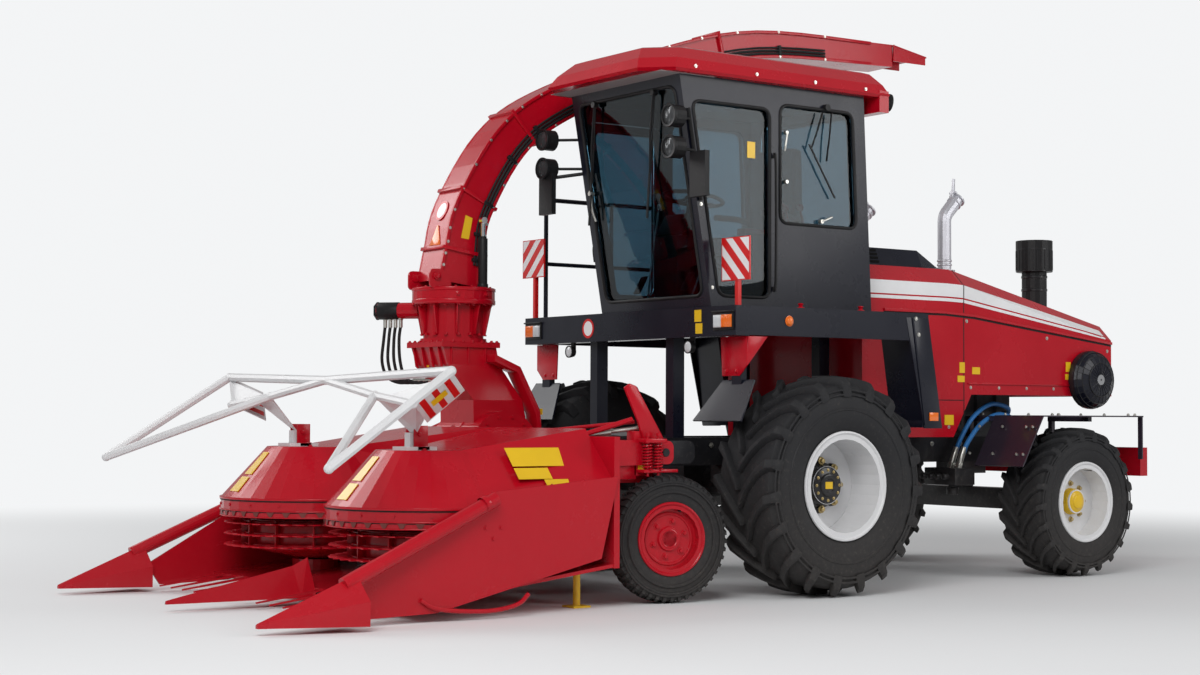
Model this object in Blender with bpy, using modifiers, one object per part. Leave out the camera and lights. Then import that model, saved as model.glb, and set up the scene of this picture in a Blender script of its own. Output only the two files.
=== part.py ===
"""Self-propelled forage harvester with a two-drum header.

Metres, +Z up. +X is the machine's left, -Y is forward. Every place below is
measured from the drive axle's centre on the ground. The last section moves the
whole machine so that its box is centred on the origin.
"""
import math
from collections import namedtuple

import bmesh
import bpy
from mathutils import Matrix, Vector

for old in list(bpy.data.objects):
    bpy.data.objects.remove(old)

# Driving dimensions of the whole machine
FRONT_REACH = 3.964          # outer divider tips ahead of the drive axle
REAR_REACH = 3.470           # hitch behind the drive axle
WHEELBASE = 2.544
GAP = 0.0003                 # between pieces that touch
PLAY = 0.006                 # least room round a moving piece
OVERRUN = 0.030              # how far a cut runs past its wall
BITE = 0.010                 # how deep a welded piece reaches into its neighbour
SIDES = (("left", 1), ("right", -1))

RED = (0.52, 0.004, 0.020)
DARK_RED = (0.25, 0.006, 0.012)
BLACK = (0.012, 0.012, 0.016)
GREY = (0.10, 0.10, 0.11)
WHITE = (0.80, 0.80, 0.80)
YELLOW = (0.80, 0.55, 0.02)
RUBBER = (0.020, 0.020, 0.022)
GLASS = (0.05, 0.11, 0.16)
SILVER = (0.60, 0.60, 0.62)

parts = bpy.data.collections.new("forage_harvester")
cutters = bpy.data.collections.new("cutters")
for group in (parts, cutters):
    bpy.context.scene.collection.children.link(group)

machine = bpy.data.objects.new("machine", None)
machine.location = (0, (FRONT_REACH - REAR_REACH) / 2, 0)
parts.objects.link(machine)


def place(name, data, origin=(0, 0, 0), turn=None, carrier=None):
    """A new object among the cutters, carried by the machine or another empty."""
    item = bpy.data.objects.new(name, data)
    cutters.objects.link(item)
    item.parent = carrier or machine
    item.matrix_basis = Matrix.Translation(origin) @ (turn or Matrix()).to_4x4()
    item.hide_render = True
    item.display_type = 'WIRE'
    return item


def shade(mesh):
    """Smooth round faces, with crisp edges where they turn sharply."""
    mesh.shade_smooth()
    mesh.set_sharp_from_angle(angle=math.radians(32))


def from_bmesh(name, work, **where):
    mesh = bpy.data.meshes.new(name)
    work.to_mesh(mesh)
    work.free()
    shade(mesh)
    return place(name, mesh, **where)


def box(low, high, **where):
    """A box between two corners."""
    low, high = Vector(map(min, zip(low, high))), Vector(map(max, zip(low, high)))
    work = bmesh.new()
    bmesh.ops.create_cube(work, size=1.0)
    fit = Matrix.Translation((low + high) / 2) @ Matrix.Diagonal((*(high - low), 1.0))
    bmesh.ops.transform(work, matrix=fit, verts=work.verts)
    return from_bmesh("box", work, **where)


def rod(start, end, radius, end_radius=None, sides=16, **where):
    """A round bar or cone between two points."""
    start, end = Vector(start), Vector(end)
    work = bmesh.new()
    bmesh.ops.create_cone(work, cap_ends=True, segments=sides, radius1=radius,
                          radius2=radius if end_radius is None else end_radius,
                          depth=(end - start).length)
    aim = (end - start).to_track_quat('Z', 'Y').to_matrix().to_4x4()
    bmesh.ops.transform(work, matrix=Matrix.Translation((start + end) / 2) @ aim,
                        verts=work.verts)
    return from_bmesh("rod", work, **where)


def turned(profile, steps, closed=False, **where):
    """A turned solid: profile rows are (radius, height), down the outer side."""
    mesh = bpy.data.meshes.new("turned")
    points = [(radius, 0, height) for radius, height in profile]
    edges = [(i, i + 1) for i in range(len(points) - 1)]
    if closed:
        edges.append((len(points) - 1, 0))
    mesh.from_pydata(points, edges, [])
    item = place("turned", mesh, **where)
    screw = item.modifiers.new("turn", 'SCREW')
    screw.steps = screw.render_steps = steps
    screw.use_merge_vertices = True
    screw.merge_threshold = 0.0001
    screw.use_smooth_shade = True
    return item


def to_mesh_object(curve_object):
    """The mesh of a curve object with its caps welded; the curve goes."""
    graph = bpy.context.evaluated_depsgraph_get()
    mesh = bpy.data.meshes.new_from_object(curve_object.evaluated_get(graph))
    work = bmesh.new()
    work.from_mesh(mesh)
    bmesh.ops.remove_doubles(work, verts=work.verts, dist=0.00001)
    work.to_mesh(mesh)
    work.free()
    shade(mesh)
    item = place(curve_object.name, mesh, carrier=curve_object.parent)
    item.matrix_basis = curve_object.matrix_basis
    bpy.data.objects.remove(curve_object)
    return item


def rounded(points, radius, steps=4, closed=True):
    """The same outline with each corner turned into an arc."""
    count = len(points)
    result = []
    for index, point in enumerate(points):
        here = Vector(point)
        if not closed and index in (0, count - 1):
            result.append(tuple(here))
            continue
        back = Vector(points[index - 1]) - here
        ahead = Vector(points[(index + 1) % count]) - here
        half = back.angle(ahead) / 2
        if half > math.radians(88):
            result.append(tuple(here))
            continue
        reach = min(radius / math.tan(half), 0.45 * min(back.length, ahead.length))
        start, end = here + back.normalized() * reach, here + ahead.normalized() * reach
        centre = here + (back.normalized() + ahead.normalized()).normalized() \
            * (reach / math.cos(half))
        sweep = math.pi - 2 * half
        for step in range(steps + 1):
            share = step / steps
            weights = (math.sin((1 - share) * sweep) / math.sin(sweep),
                       math.sin(share * sweep) / math.sin(sweep))
            result.append(tuple(centre + (start - centre) * weights[0]
                                + (end - centre) * weights[1]))
    return result


# The plane of a flat outline: its first axis, its second axis and its normal
PLANES = {"XY": Matrix(((1, 0, 0), (0, 1, 0), (0, 0, 1))),
          "YZ": Matrix(((0, 0, 1), (1, 0, 0), (0, 1, 0))),
          "XZ": Matrix(((1, 0, 0), (0, 0, -1), (0, 1, 0)))}


def plate(outline, plane, low, high, holes=(), **where):
    """A flat outline in a plane, as thick as from low to high on its normal axis."""
    curve = bpy.data.curves.new("plate", 'CURVE')
    curve.dimensions = '2D'
    curve.fill_mode = 'BOTH'
    curve.extrude = abs(high - low) / 2
    for loop in (outline, *holes):
        spline = curve.splines.new('POLY')
        spline.points.add(len(loop) - 1)
        spline.use_cyclic_u = True
        for target, point in zip(spline.points, loop):
            target.co = (point[0], point[1], 0, 1)
    axis = {"XY": Vector((0, 0, 1)), "YZ": Vector((1, 0, 0)), "XZ": Vector((0, 1, 0))}[plane]
    item = place("plate", curve, **where)
    item.matrix_basis = item.matrix_basis @ Matrix.Translation(axis * (low + high) / 2) \
        @ PLANES[plane].to_4x4()
    return to_mesh_object(item)


def tube(points, radius, resolution=2, **where):
    """A round tube or bar along points."""
    curve = bpy.data.curves.new("tube", 'CURVE')
    curve.dimensions = '3D'
    curve.bevel_depth = radius
    curve.bevel_resolution = resolution
    curve.use_fill_caps = True
    spline = curve.splines.new('POLY')
    spline.points.add(len(points) - 1)
    for target, point in zip(spline.points, points):
        target.co = (*point, 1)
    return to_mesh_object(place("tube", curve, **where))


def loft(sections, **where):
    """A closed solid through sections with as many points each."""
    work = bmesh.new()
    rings = [[work.verts.new(point) for point in section] for section in sections]
    for first, second in zip(rings, rings[1:]):
        for index in range(len(first)):
            after = (index + 1) % len(first)
            work.faces.new((first[index], first[after], second[after], second[index]))
    work.faces.new(rings[0][::-1])
    work.faces.new(rings[-1])
    bmesh.ops.recalc_face_normals(work, faces=work.faces)
    return from_bmesh("loft", work, **where)


def sheet(corners, thickness, **where):
    """A flat sheet with its corners in space, thick to both sides."""
    work = bmesh.new()
    work.faces.new([work.verts.new(corner) for corner in corners])
    item = from_bmesh("sheet", work, **where)
    solid = item.modifiers.new("thickness", 'SOLIDIFY')
    solid.thickness = thickness
    solid.offset = 0
    return item


def combine(base, others, operation):
    for other in others:
        change = base.modifiers.new(operation.lower(), 'BOOLEAN')
        change.operation = operation
        change.object = other


def part(name, bits, colour, cuts=(), roughness=0.35, metallic=0.0, origin=None):
    """One named piece: its bits welded together, less its cuts."""
    base, *others = bits
    combine(base, others, 'UNION')
    combine(base, cuts, 'DIFFERENCE')
    if origin is not None:
        shift = base.matrix_basis.inverted() @ Vector(origin)
        base.data.transform(Matrix.Translation(-shift))
        base.location = origin
    base.name = name
    base.data.name = name
    base.hide_render = False
    base.display_type = 'TEXTURED'
    cutters.objects.unlink(base)
    parts.objects.link(base)
    finish = bpy.data.materials.new(name)
    finish.use_nodes = True
    shader = finish.node_tree.nodes["Principled BSDF"]
    shader.inputs["Base Color"].default_value = (*colour, 1)
    shader.inputs["Roughness"].default_value = roughness
    shader.inputs["Metallic"].default_value = metallic
    base.data.materials.clear()
    base.data.materials.append(finish)
    return base


def scaled(shares, origin, size):
    """Outline points from shares of a size, counted from an origin."""
    return [tuple(o + s * share for o, s, share in zip(origin, size, row)) for row in shares]


def swapped(side, x):
    """The X of a place on this side of the machine."""
    return side * x


# Wheels: along each axle, outer side positive, from the tyre's centre plane
Wheel = namedtuple("Wheel", "name radius width flange barrel rim_width wall disc_out disc_in"
                            " hub hub_out hub_in track y turn steps colour")
DRIVE_WHEEL = Wheel("drive", radius=0.690, width=0.540, flange=0.335, barrel=0.303,
                    rim_width=0.480, wall=0.012, disc_out=-0.020, disc_in=-0.040,
                    hub=0.120, hub_out=0.070, hub_in=-0.100, track=1.220, y=0,
                    turn=0, steps=28, colour=WHITE)
REAR_WHEEL = Wheel("rear", radius=0.525, width=0.410, flange=0.277, barrel=0.248,
                   rim_width=0.360, wall=0.010, disc_out=0.040, disc_in=0.024,
                   hub=0.085, hub_out=0.100, hub_in=-0.060, track=1.020, y=WHEELBASE,
                   turn=0, steps=24, colour=WHITE)
HEADER_WHEEL = Wheel("header", radius=0.385, width=0.180, flange=0.215, barrel=0.190,
                     rim_width=0.146, wall=0.008, disc_out=0.030, disc_in=0.018,
                     hub=0.070, hub_out=0.046, hub_in=-0.050, track=1.100, y=-1.130,
                     turn=math.radians(12), steps=20, colour=RED)
# Tyre section: share of its height above the bead, share of its half width
TYRE_SHARES = ((0.36, 1.00), (0.82, 0.96), (1.00, 0.72))


def wheel_place(wheel, side):
    """Where a wheel stands: its centre, and the turn that lays local Z along its axle."""
    centre = (side * wheel.track, wheel.y, wheel.radius)
    lie = Matrix.Rotation(math.pi / 2 * side, 3, 'Y')
    return centre, Matrix.Rotation(-wheel.turn * side, 3, 'Z') @ lie


def tyre_profile(wheel):
    height = wheel.radius - wheel.barrel - GAP
    half = [(wheel.barrel + GAP + height * up, wheel.width / 2 * out) for up, out in TYRE_SHARES]
    return half + [(radius, -out) for radius, out in reversed(half)]


def rim_profile(wheel):
    edge = wheel.rim_width / 2
    inner = wheel.barrel - wheel.wall
    return ((0, wheel.hub_out), (wheel.hub, wheel.hub_out), (wheel.hub, wheel.disc_out),
            (inner, wheel.disc_out), (inner, edge), (wheel.flange, edge),
            (wheel.flange, edge - wheel.wall), (wheel.barrel, edge - wheel.wall),
            (wheel.barrel, wheel.wall - edge), (wheel.flange, wheel.wall - edge),
            (wheel.flange, -edge), (inner, -edge), (inner, wheel.disc_in),
            (wheel.hub, wheel.disc_in), (wheel.hub, wheel.hub_in), (0, wheel.hub_in))


def tyre_bead(wheel):
    """The whole section: the bead sits between the flanges up to their height."""
    bead = wheel.rim_width / 2 - wheel.wall - GAP
    seat, lip = wheel.barrel + GAP, wheel.flange + GAP
    return [(lip, bead), *tyre_profile(wheel), (lip, -bead), (seat, -bead), (seat, bead)]


for wheel in (DRIVE_WHEEL, REAR_WHEEL, HEADER_WHEEL):
    for side_name, side in SIDES:
        centre, turn = wheel_place(wheel, side)
        part(f"{wheel.name}_tyre_{side_name}",
             [turned(tyre_bead(wheel), wheel.steps, closed=True, origin=centre, turn=turn)],
             RUBBER, roughness=0.85)
        part(f"{wheel.name}_rim_{side_name}",
             [turned(rim_profile(wheel), wheel.steps, origin=centre, turn=turn)],
             wheel.colour)


# Chassis: two long beams, cross members, drive axle and the header's pivot tube
BEAM_X = 0.420
BEAM_WIDTH = 0.090
BEAM_LOW = 0.800
BEAM_HIGH = 0.980
BEAM_FRONT = -0.980
BEAM_REAR = 3.300
CROSS_LENGTH = 0.120
AXLE_RADIUS = 0.105
FINAL_DRIVE_RADIUS = 0.185
FINAL_DRIVE_LENGTH = 0.300
SADDLE_HALF = 0.160
GEARBOX = (0.170, 0.260, 0.170)      # half length, half width, half height
PIVOT_Y = -1.100
PIVOT_Z = 0.900
PIVOT_TUBE_Y = -0.900
PIVOT_TUBE_RADIUS = 0.060
PIVOT_EAR_IN = 0.985
PIVOT_EAR_OUT = 1.010
PIVOT_PIN_OUT = 1.062
PIVOT_PIN_RADIUS = 0.025
EAR_HEIGHT = 0.140
cross_rows = (BEAM_FRONT, 1.050, 1.900, BEAM_REAR - CROSS_LENGTH)   # front edge of each


def beam_y(share):
    return BEAM_FRONT + (BEAM_REAR - BEAM_FRONT) * share


hub_face = DRIVE_WHEEL.track + DRIVE_WHEEL.hub_in - GAP
bits = [box((-BEAM_X - BEAM_WIDTH / 2, BEAM_FRONT, BEAM_LOW),
            (-BEAM_X + BEAM_WIDTH / 2, BEAM_REAR, BEAM_HIGH)),
        box((BEAM_X - BEAM_WIDTH / 2, BEAM_FRONT, BEAM_LOW),
            (BEAM_X + BEAM_WIDTH / 2, BEAM_REAR, BEAM_HIGH))]
cross_share = 0.15
for front in cross_rows:
    drop = (BEAM_HIGH - BEAM_LOW) * cross_share
    bits.append(box((-BEAM_X, front, BEAM_LOW + drop), (BEAM_X, front + CROSS_LENGTH, BEAM_HIGH - drop)))
bits.append(rod((-hub_face + BITE, 0, DRIVE_WHEEL.radius), (hub_face - BITE, 0, DRIVE_WHEEL.radius),
                AXLE_RADIUS))
bits.append(box((-GEARBOX[0], -GEARBOX[1], DRIVE_WHEEL.radius - GEARBOX[2]),
                (GEARBOX[0], GEARBOX[1], DRIVE_WHEEL.radius + GEARBOX[2])))
for side_name, side in SIDES:
    bits.append(rod((side * hub_face, 0, DRIVE_WHEEL.radius),
                    (side * (hub_face - FINAL_DRIVE_LENGTH), 0, DRIVE_WHEEL.radius),
                    FINAL_DRIVE_RADIUS, sides=24))
    bits.append(box((side * (BEAM_X - BEAM_WIDTH), -SADDLE_HALF, DRIVE_WHEEL.radius - BITE),
                    (side * (BEAM_X + BEAM_WIDTH), SADDLE_HALF, BEAM_LOW + BEAM_WIDTH)))
bits.append(rod((-PIVOT_EAR_OUT + BITE, PIVOT_TUBE_Y, PIVOT_Z),
                (PIVOT_EAR_OUT - BITE, PIVOT_TUBE_Y, PIVOT_Z), PIVOT_TUBE_RADIUS))
for side_name, side in SIDES:
    ear = rounded([(PIVOT_TUBE_Y + PIVOT_TUBE_RADIUS, PIVOT_Z - EAR_HEIGHT / 2),
                   (PIVOT_TUBE_Y + PIVOT_TUBE_RADIUS, PIVOT_Z + EAR_HEIGHT / 2),
                   (PIVOT_Y - PIVOT_TUBE_RADIUS, PIVOT_Z + EAR_HEIGHT / 2),
                   (PIVOT_Y - PIVOT_TUBE_RADIUS, PIVOT_Z - EAR_HEIGHT / 2)],
                  PIVOT_TUBE_RADIUS * 0.8)
    bits.append(plate(ear, "YZ", side * PIVOT_EAR_IN, side * PIVOT_EAR_OUT))
    bits.append(rod((side * (PIVOT_EAR_IN + BITE), PIVOT_Y, PIVOT_Z),
                    (side * PIVOT_PIN_OUT, PIVOT_Y, PIVOT_Z), PIVOT_PIN_RADIUS))
TRUNNION_HALF = 0.130
TRUNNION_DROP = 0.100
bits.append(box((-TRUNNION_HALF, WHEELBASE - TRUNNION_HALF, BEAM_LOW - TRUNNION_DROP),
                (TRUNNION_HALF, WHEELBASE + TRUNNION_HALF, BEAM_HIGH - TRUNNION_DROP)))
bits.append(box((-BEAM_X, WHEELBASE - TRUNNION_HALF * 0.6, BEAM_LOW + BITE),
                (BEAM_X, WHEELBASE + TRUNNION_HALF * 0.6, BEAM_HIGH - TRUNNION_DROP - BITE)))
part("chassis_frame", bits, BLACK)

# Rear axle: a beam hung at the trunnion, with a fork at each end for the knuckle
KINGPIN_X = 0.820
KINGPIN_RADIUS = 0.045
FORK_REACH = 0.055
FORK_THICK = 0.030
FORK_HALF = 0.060
BARREL_HALF = 0.110
AXLE_BEAM_HALF = 0.075
AXLE_BEAM_END = 0.700
SPINDLE_RADIUS = 0.050
rear_z = REAR_WHEEL.radius
bits = [box((-AXLE_BEAM_END, WHEELBASE - AXLE_BEAM_HALF, rear_z - AXLE_BEAM_HALF),
            (AXLE_BEAM_END, WHEELBASE + AXLE_BEAM_HALF, rear_z + AXLE_BEAM_HALF)),
        box((-TRUNNION_HALF / 2, WHEELBASE - TRUNNION_HALF / 2, rear_z),
            (TRUNNION_HALF / 2, WHEELBASE + TRUNNION_HALF / 2, BEAM_LOW - TRUNNION_DROP - GAP))]
fork_top = BARREL_HALF + GAP + FORK_THICK
for side_name, side in SIDES:
    bits.append(box((side * (AXLE_BEAM_END - BITE), WHEELBASE - FORK_HALF, rear_z - fork_top),
                    (side * (AXLE_BEAM_END - BITE - FORK_THICK), WHEELBASE + FORK_HALF,
                     rear_z + fork_top)))
    for up in (1, -1):
        bits.append(box((side * (AXLE_BEAM_END - FORK_THICK), WHEELBASE - FORK_HALF,
                         rear_z + up * (BARREL_HALF + GAP)),
                        (side * (KINGPIN_X + FORK_REACH), WHEELBASE + FORK_HALF,
                         rear_z + up * fork_top)))
part("rear_axle", bits, BLACK)

for side_name, side in SIDES:
    kingpin = (side * KINGPIN_X, WHEELBASE, rear_z)
    hub_end = REAR_WHEEL.track + REAR_WHEEL.hub_in - GAP
    part(f"knuckle_{side_name}",
         [rod((side * KINGPIN_X, WHEELBASE, rear_z - BARREL_HALF),
              (side * KINGPIN_X, WHEELBASE, rear_z + BARREL_HALF), KINGPIN_RADIUS),
          rod((side * KINGPIN_X, WHEELBASE, rear_z), (side * hub_end, WHEELBASE, rear_z),
              SPINDLE_RADIUS)],
         BLACK, origin=kingpin)

# Engine: one plain block on the beams
ENGINE_HALF = 0.392
ENGINE_FRONT = 1.350
ENGINE_REAR = 2.650
ENGINE_HIGH = 1.720
part("engine_block", [box((-ENGINE_HALF, ENGINE_FRONT, BEAM_HIGH + GAP),
                          (ENGINE_HALF, ENGINE_REAR, ENGINE_HIGH))], GREY)

# Bonnet: a sheet hood, open below, with a chamfered top that falls to the rear
BONNET_HALF = 0.710
BONNET_FRONT = 0.850
BONNET_BREAK = 1.800
BONNET_REAR = 3.420
BONNET_HIGH = 2.170
BONNET_TAIL_HIGH = 1.810
BONNET_LOW = 1.280
BONNET_SKIRT_LOW = BEAM_HIGH + GAP
BONNET_SKIRT_REAR = 1.730
BONNET_WALL = 0.020
BONNET_CHAMFER = 0.110


def hood_section(y, top, half, low, chamfer):
    return [(half, y, low), (half, y, top - chamfer), (half - chamfer, y, top),
            (chamfer - half, y, top), (-half, y, top - chamfer), (-half, y, low)]


def bonnet_body(inset):
    rows = ((BONNET_FRONT + inset, BONNET_HIGH), (BONNET_BREAK, BONNET_HIGH),
            (BONNET_REAR - inset, BONNET_TAIL_HIGH))
    low = BONNET_SKIRT_LOW - (OVERRUN if inset else 0)
    return loft([hood_section(y, top - inset, BONNET_HALF - inset, low, BONNET_CHAMFER)
                 for y, top in rows])


def bonnet_underside():
    """What is left open below the rear of the hood."""
    low = BONNET_SKIRT_LOW - OVERRUN
    slope = BONNET_LOW - BONNET_SKIRT_LOW
    outline = [(BONNET_SKIRT_REAR, low), (BONNET_SKIRT_REAR, BONNET_SKIRT_LOW),
               (BONNET_SKIRT_REAR + slope * 0.6, BONNET_LOW),
               (BONNET_REAR + OVERRUN, BONNET_LOW), (BONNET_REAR + OVERRUN, low)]
    return plate(outline, "YZ", -BONNET_HALF - OVERRUN, BONNET_HALF + OVERRUN)


part("bonnet", [bonnet_body(0)], RED, cuts=[bonnet_body(BONNET_WALL), bonnet_underside()])

# Air intake box on the bonnet's front
GRILLE_FRONT = 0.900
GRILLE_REAR = 1.770
GRILLE_HALF = 0.560
GRILLE_HIGH = 2.300
part("bonnet_grille",
     [loft([[(GRILLE_HALF, y, BONNET_HIGH + GAP), (GRILLE_HALF * 0.9, y, top),
             (-GRILLE_HALF * 0.9, y, top), (-GRILLE_HALF, y, BONNET_HIGH + GAP)]
            for y, top in ((GRILLE_FRONT, GRILLE_HIGH), (GRILLE_REAR - 0.35 * GRILLE_HALF, GRILLE_HIGH),
                           (GRILLE_REAR, BONNET_HIGH + BITE * 2))])], BLACK)

# Radiator screen: a round drum on the bonnet's left side
SCREEN_Y = 3.150
SCREEN_Z = 1.400
SCREEN_RADIUS = 0.215
SCREEN_DEPTH = 0.130
part("radiator_screen",
     [turned([(0, SCREEN_DEPTH), (SCREEN_RADIUS * 0.55, SCREEN_DEPTH * 0.95),
              (SCREEN_RADIUS * 0.85, SCREEN_DEPTH * 0.75), (SCREEN_RADIUS, SCREEN_DEPTH * 0.4),
              (SCREEN_RADIUS, 0), (0, 0)], 24, origin=(BONNET_HALF + GAP, SCREEN_Y, SCREEN_Z),
             turn=Matrix.Rotation(math.pi / 2, 3, 'Y'))], BLACK)

# Exhausts: a pipe with an elbow and a rain cap
EXHAUST_X = 0.460
EXHAUST_Y = 1.900
EXHAUST_RADIUS = 0.050
EXHAUST_RISE = 0.420
EXHAUST_TURN = 0.130


def bonnet_top(y):
    share = (y - BONNET_BREAK) / (BONNET_REAR - BONNET_BREAK)
    return BONNET_HIGH + (BONNET_TAIL_HIGH - BONNET_HIGH) * max(share, 0)


for side_name, side in SIDES:
    foot = bonnet_top(EXHAUST_Y)
    route = rounded([(side * EXHAUST_X, EXHAUST_Y, foot - EXHAUST_RADIUS),
                     (side * EXHAUST_X, EXHAUST_Y, foot + EXHAUST_RISE),
                     (side * EXHAUST_X, EXHAUST_Y + EXHAUST_TURN, foot + EXHAUST_RISE + EXHAUST_TURN)],
                    EXHAUST_RADIUS * 2, closed=False)
    part(f"exhaust_{side_name}",
         [tube(route, EXHAUST_RADIUS, resolution=4),
          rod((side * EXHAUST_X, EXHAUST_Y, foot - EXHAUST_RADIUS * 0.9),
              (side * EXHAUST_X, EXHAUST_Y, foot + EXHAUST_RADIUS * 0.6), EXHAUST_RADIUS * 1.5)],
         SILVER, metallic=0.9, cuts=[bonnet_body(-GAP)])

# Air pre-cleaner: a can on a tube at the bonnet's tail
CLEANER_X = 0.150
CLEANER_Y = 3.200
CLEANER_TUBE = 0.095
CLEANER_CAN = 0.140
CLEANER_CAN_LOW = 2.240
CLEANER_HIGH = 2.480
part("air_precleaner",
     [rod((CLEANER_X, CLEANER_Y, BONNET_TAIL_HIGH - CLEANER_TUBE), (CLEANER_X, CLEANER_Y, CLEANER_CAN_LOW + BITE), CLEANER_TUBE),
      rod((CLEANER_X, CLEANER_Y, CLEANER_CAN_LOW), (CLEANER_X, CLEANER_Y, CLEANER_HIGH), CLEANER_CAN)],
     BLACK, cuts=[bonnet_body(-GAP)])

# Platform: front beam, side skirts, floor, posts down to the chassis and mudguards
DECK_HALF = 1.165
DECK_FRONT = -0.644
DECK_REAR = 1.022
DECK_LOW = 1.620
DECK_HIGH = 1.807
BEAM_DEPTH = 0.110
SKIRT_THICK = 0.035
FLOOR_THICK = 0.030
FLOOR_REAR = BONNET_FRONT - PLAY
POST_HALF = 0.045
POST_ROWS = (DECK_FRONT + BEAM_DEPTH, FLOOR_REAR - BEAM_DEPTH)
GUARD_SHEET = 0.012
# Mudguard sheet: X of its two low corners, X of its two high corners, low Y and Z, high Y and Z
FRONT_GUARD_LOW = (0.780, 1.250, -0.670, 1.090)
FRONT_GUARD_HIGH = (0.900, 1.200, -0.520, 1.345)
REAR_GUARD_IN = 0.860
REAR_GUARD_LOW_Y = 0.985
REAR_GUARD_LOW_Z = 1.066
REAR_GUARD_HIGH_Y = 0.870
bits = [box((-DECK_HALF, DECK_FRONT, DECK_LOW), (DECK_HALF, DECK_FRONT + BEAM_DEPTH, DECK_HIGH)),
        box((-DECK_HALF + BITE, DECK_FRONT + BITE, DECK_HIGH - FLOOR_THICK - BITE),
            (DECK_HALF - BITE, FLOOR_REAR, DECK_HIGH - BITE / 2))]
for side_name, side in SIDES:
    bits.append(box((side * DECK_HALF, DECK_FRONT + BITE, DECK_LOW + BITE / 2),
                    (side * (DECK_HALF - SKIRT_THICK), DECK_REAR, DECK_HIGH)))
    bits.append(box((side * (DECK_HALF - BITE), FLOOR_REAR - BITE, DECK_HIGH - FLOOR_THICK - BITE),
                    (side * (BONNET_HALF + PLAY), DECK_REAR - BITE, DECK_HIGH - BITE / 2)))
    for y in POST_ROWS:
        bits.append(box((side * (BEAM_X - POST_HALF + BITE / 2), y - POST_HALF, BEAM_HIGH + GAP),
                        (side * (BEAM_X + POST_HALF - BITE / 2), y + POST_HALF, DECK_HIGH - FLOOR_THICK)))
    in_low, out_low, y_low, z_low = FRONT_GUARD_LOW
    in_high, out_high, y_high, z_high = FRONT_GUARD_HIGH
    bits.append(sheet([(side * in_low, y_low, z_low), (side * out_low, y_low, z_low),
                       (side * out_high, y_high, z_high), (side * in_high, y_high, z_high)],
                      GUARD_SHEET))
    hanger_x = (in_high + out_high) / 2
    bits.append(box((side * (hanger_x - POST_HALF), y_high - POST_HALF / 2, z_high - BITE * 3),
                    (side * (hanger_x + POST_HALF), y_high + POST_HALF / 2, DECK_LOW + BITE * 2)))
    bits.append(sheet([(side * REAR_GUARD_IN, REAR_GUARD_LOW_Y, REAR_GUARD_LOW_Z),
                       (side * (DECK_HALF + BITE), REAR_GUARD_LOW_Y, REAR_GUARD_LOW_Z),
                       (side * (DECK_HALF + BITE), REAR_GUARD_HIGH_Y, DECK_HIGH - FLOOR_THICK),
                       (side * REAR_GUARD_IN, REAR_GUARD_HIGH_Y, DECK_HIGH - FLOOR_THICK)],
                      GUARD_SHEET))
part("platform", bits, BLACK)

# Cab: a hollow shell on the platform, its front and rear walls leaning
CAB_LEFT = 0.885
CAB_RIGHT = -0.283
CAB_FRONT_LOW = -0.610
CAB_FRONT_HIGH = -0.870
CAB_REAR_LOW = 0.770
CAB_REAR_HIGH = 0.700
CAB_HIGH = 3.260
CAB_WALL = 0.045
CAB_FLOOR = 0.050
CORNER = 0.060
cab_low = DECK_HIGH + GAP


def cab_y(z, front=True):
    """Y of the cab's leaning front or rear wall at a height."""
    low, high = (CAB_FRONT_LOW, CAB_FRONT_HIGH) if front else (CAB_REAR_LOW, CAB_REAR_HIGH)
    return low + (high - low) * (z - cab_low) / (CAB_HIGH - cab_low)


def cab_side(inset, low, high):
    return [(cab_y(low) + inset, low), (cab_y(low, False) - inset, low),
            (cab_y(high, False) - inset, high), (cab_y(high) + inset, high)]


DOOR_REAR = -0.130
DOOR_LOW = 1.880
DOOR_HIGH = 3.100
DOOR_PILLAR = 0.070          # what stays of the front corner
SIDE_WINDOW_FRONT = -0.040
SIDE_WINDOW_LOW = 2.370
SIDE_WINDOW_HIGH = 3.140
SIDE_WINDOW_PILLAR = 0.110
FRONT_WINDOW_LOW = 1.880
FRONT_WINDOW_HIGH = 3.190
REAR_WINDOW_LOW = 2.350
door_outline = [(cab_y(DOOR_LOW) + DOOR_PILLAR, DOOR_LOW), (DOOR_REAR, DOOR_LOW),
                (DOOR_REAR, DOOR_HIGH), (cab_y(DOOR_HIGH) + DOOR_PILLAR, DOOR_HIGH)]
side_window = [(SIDE_WINDOW_FRONT, SIDE_WINDOW_LOW),
               (cab_y(SIDE_WINDOW_LOW, False) - SIDE_WINDOW_PILLAR, SIDE_WINDOW_LOW),
               (cab_y(SIDE_WINDOW_HIGH, False) - SIDE_WINDOW_PILLAR, SIDE_WINDOW_HIGH),
               (SIDE_WINDOW_FRONT, SIDE_WINDOW_HIGH)]


def inset(points, distance):
    """A convex outline moved inwards by a distance all round."""
    result = []
    count = len(points)
    middle = sum((Vector(point) for point in points), Vector((0, 0))) / count
    for index in range(count):
        here = Vector(points[index])
        back = (Vector(points[index - 1]) - here).normalized()
        ahead = (Vector(points[(index + 1) % count]) - here).normalized()
        half = back.angle(ahead) / 2
        inward = (back + ahead).normalized()
        if inward.dot(middle - here) < 0:
            inward = -inward
        result.append(tuple(here + inward * (distance / math.sin(half))))
    return result


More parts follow.
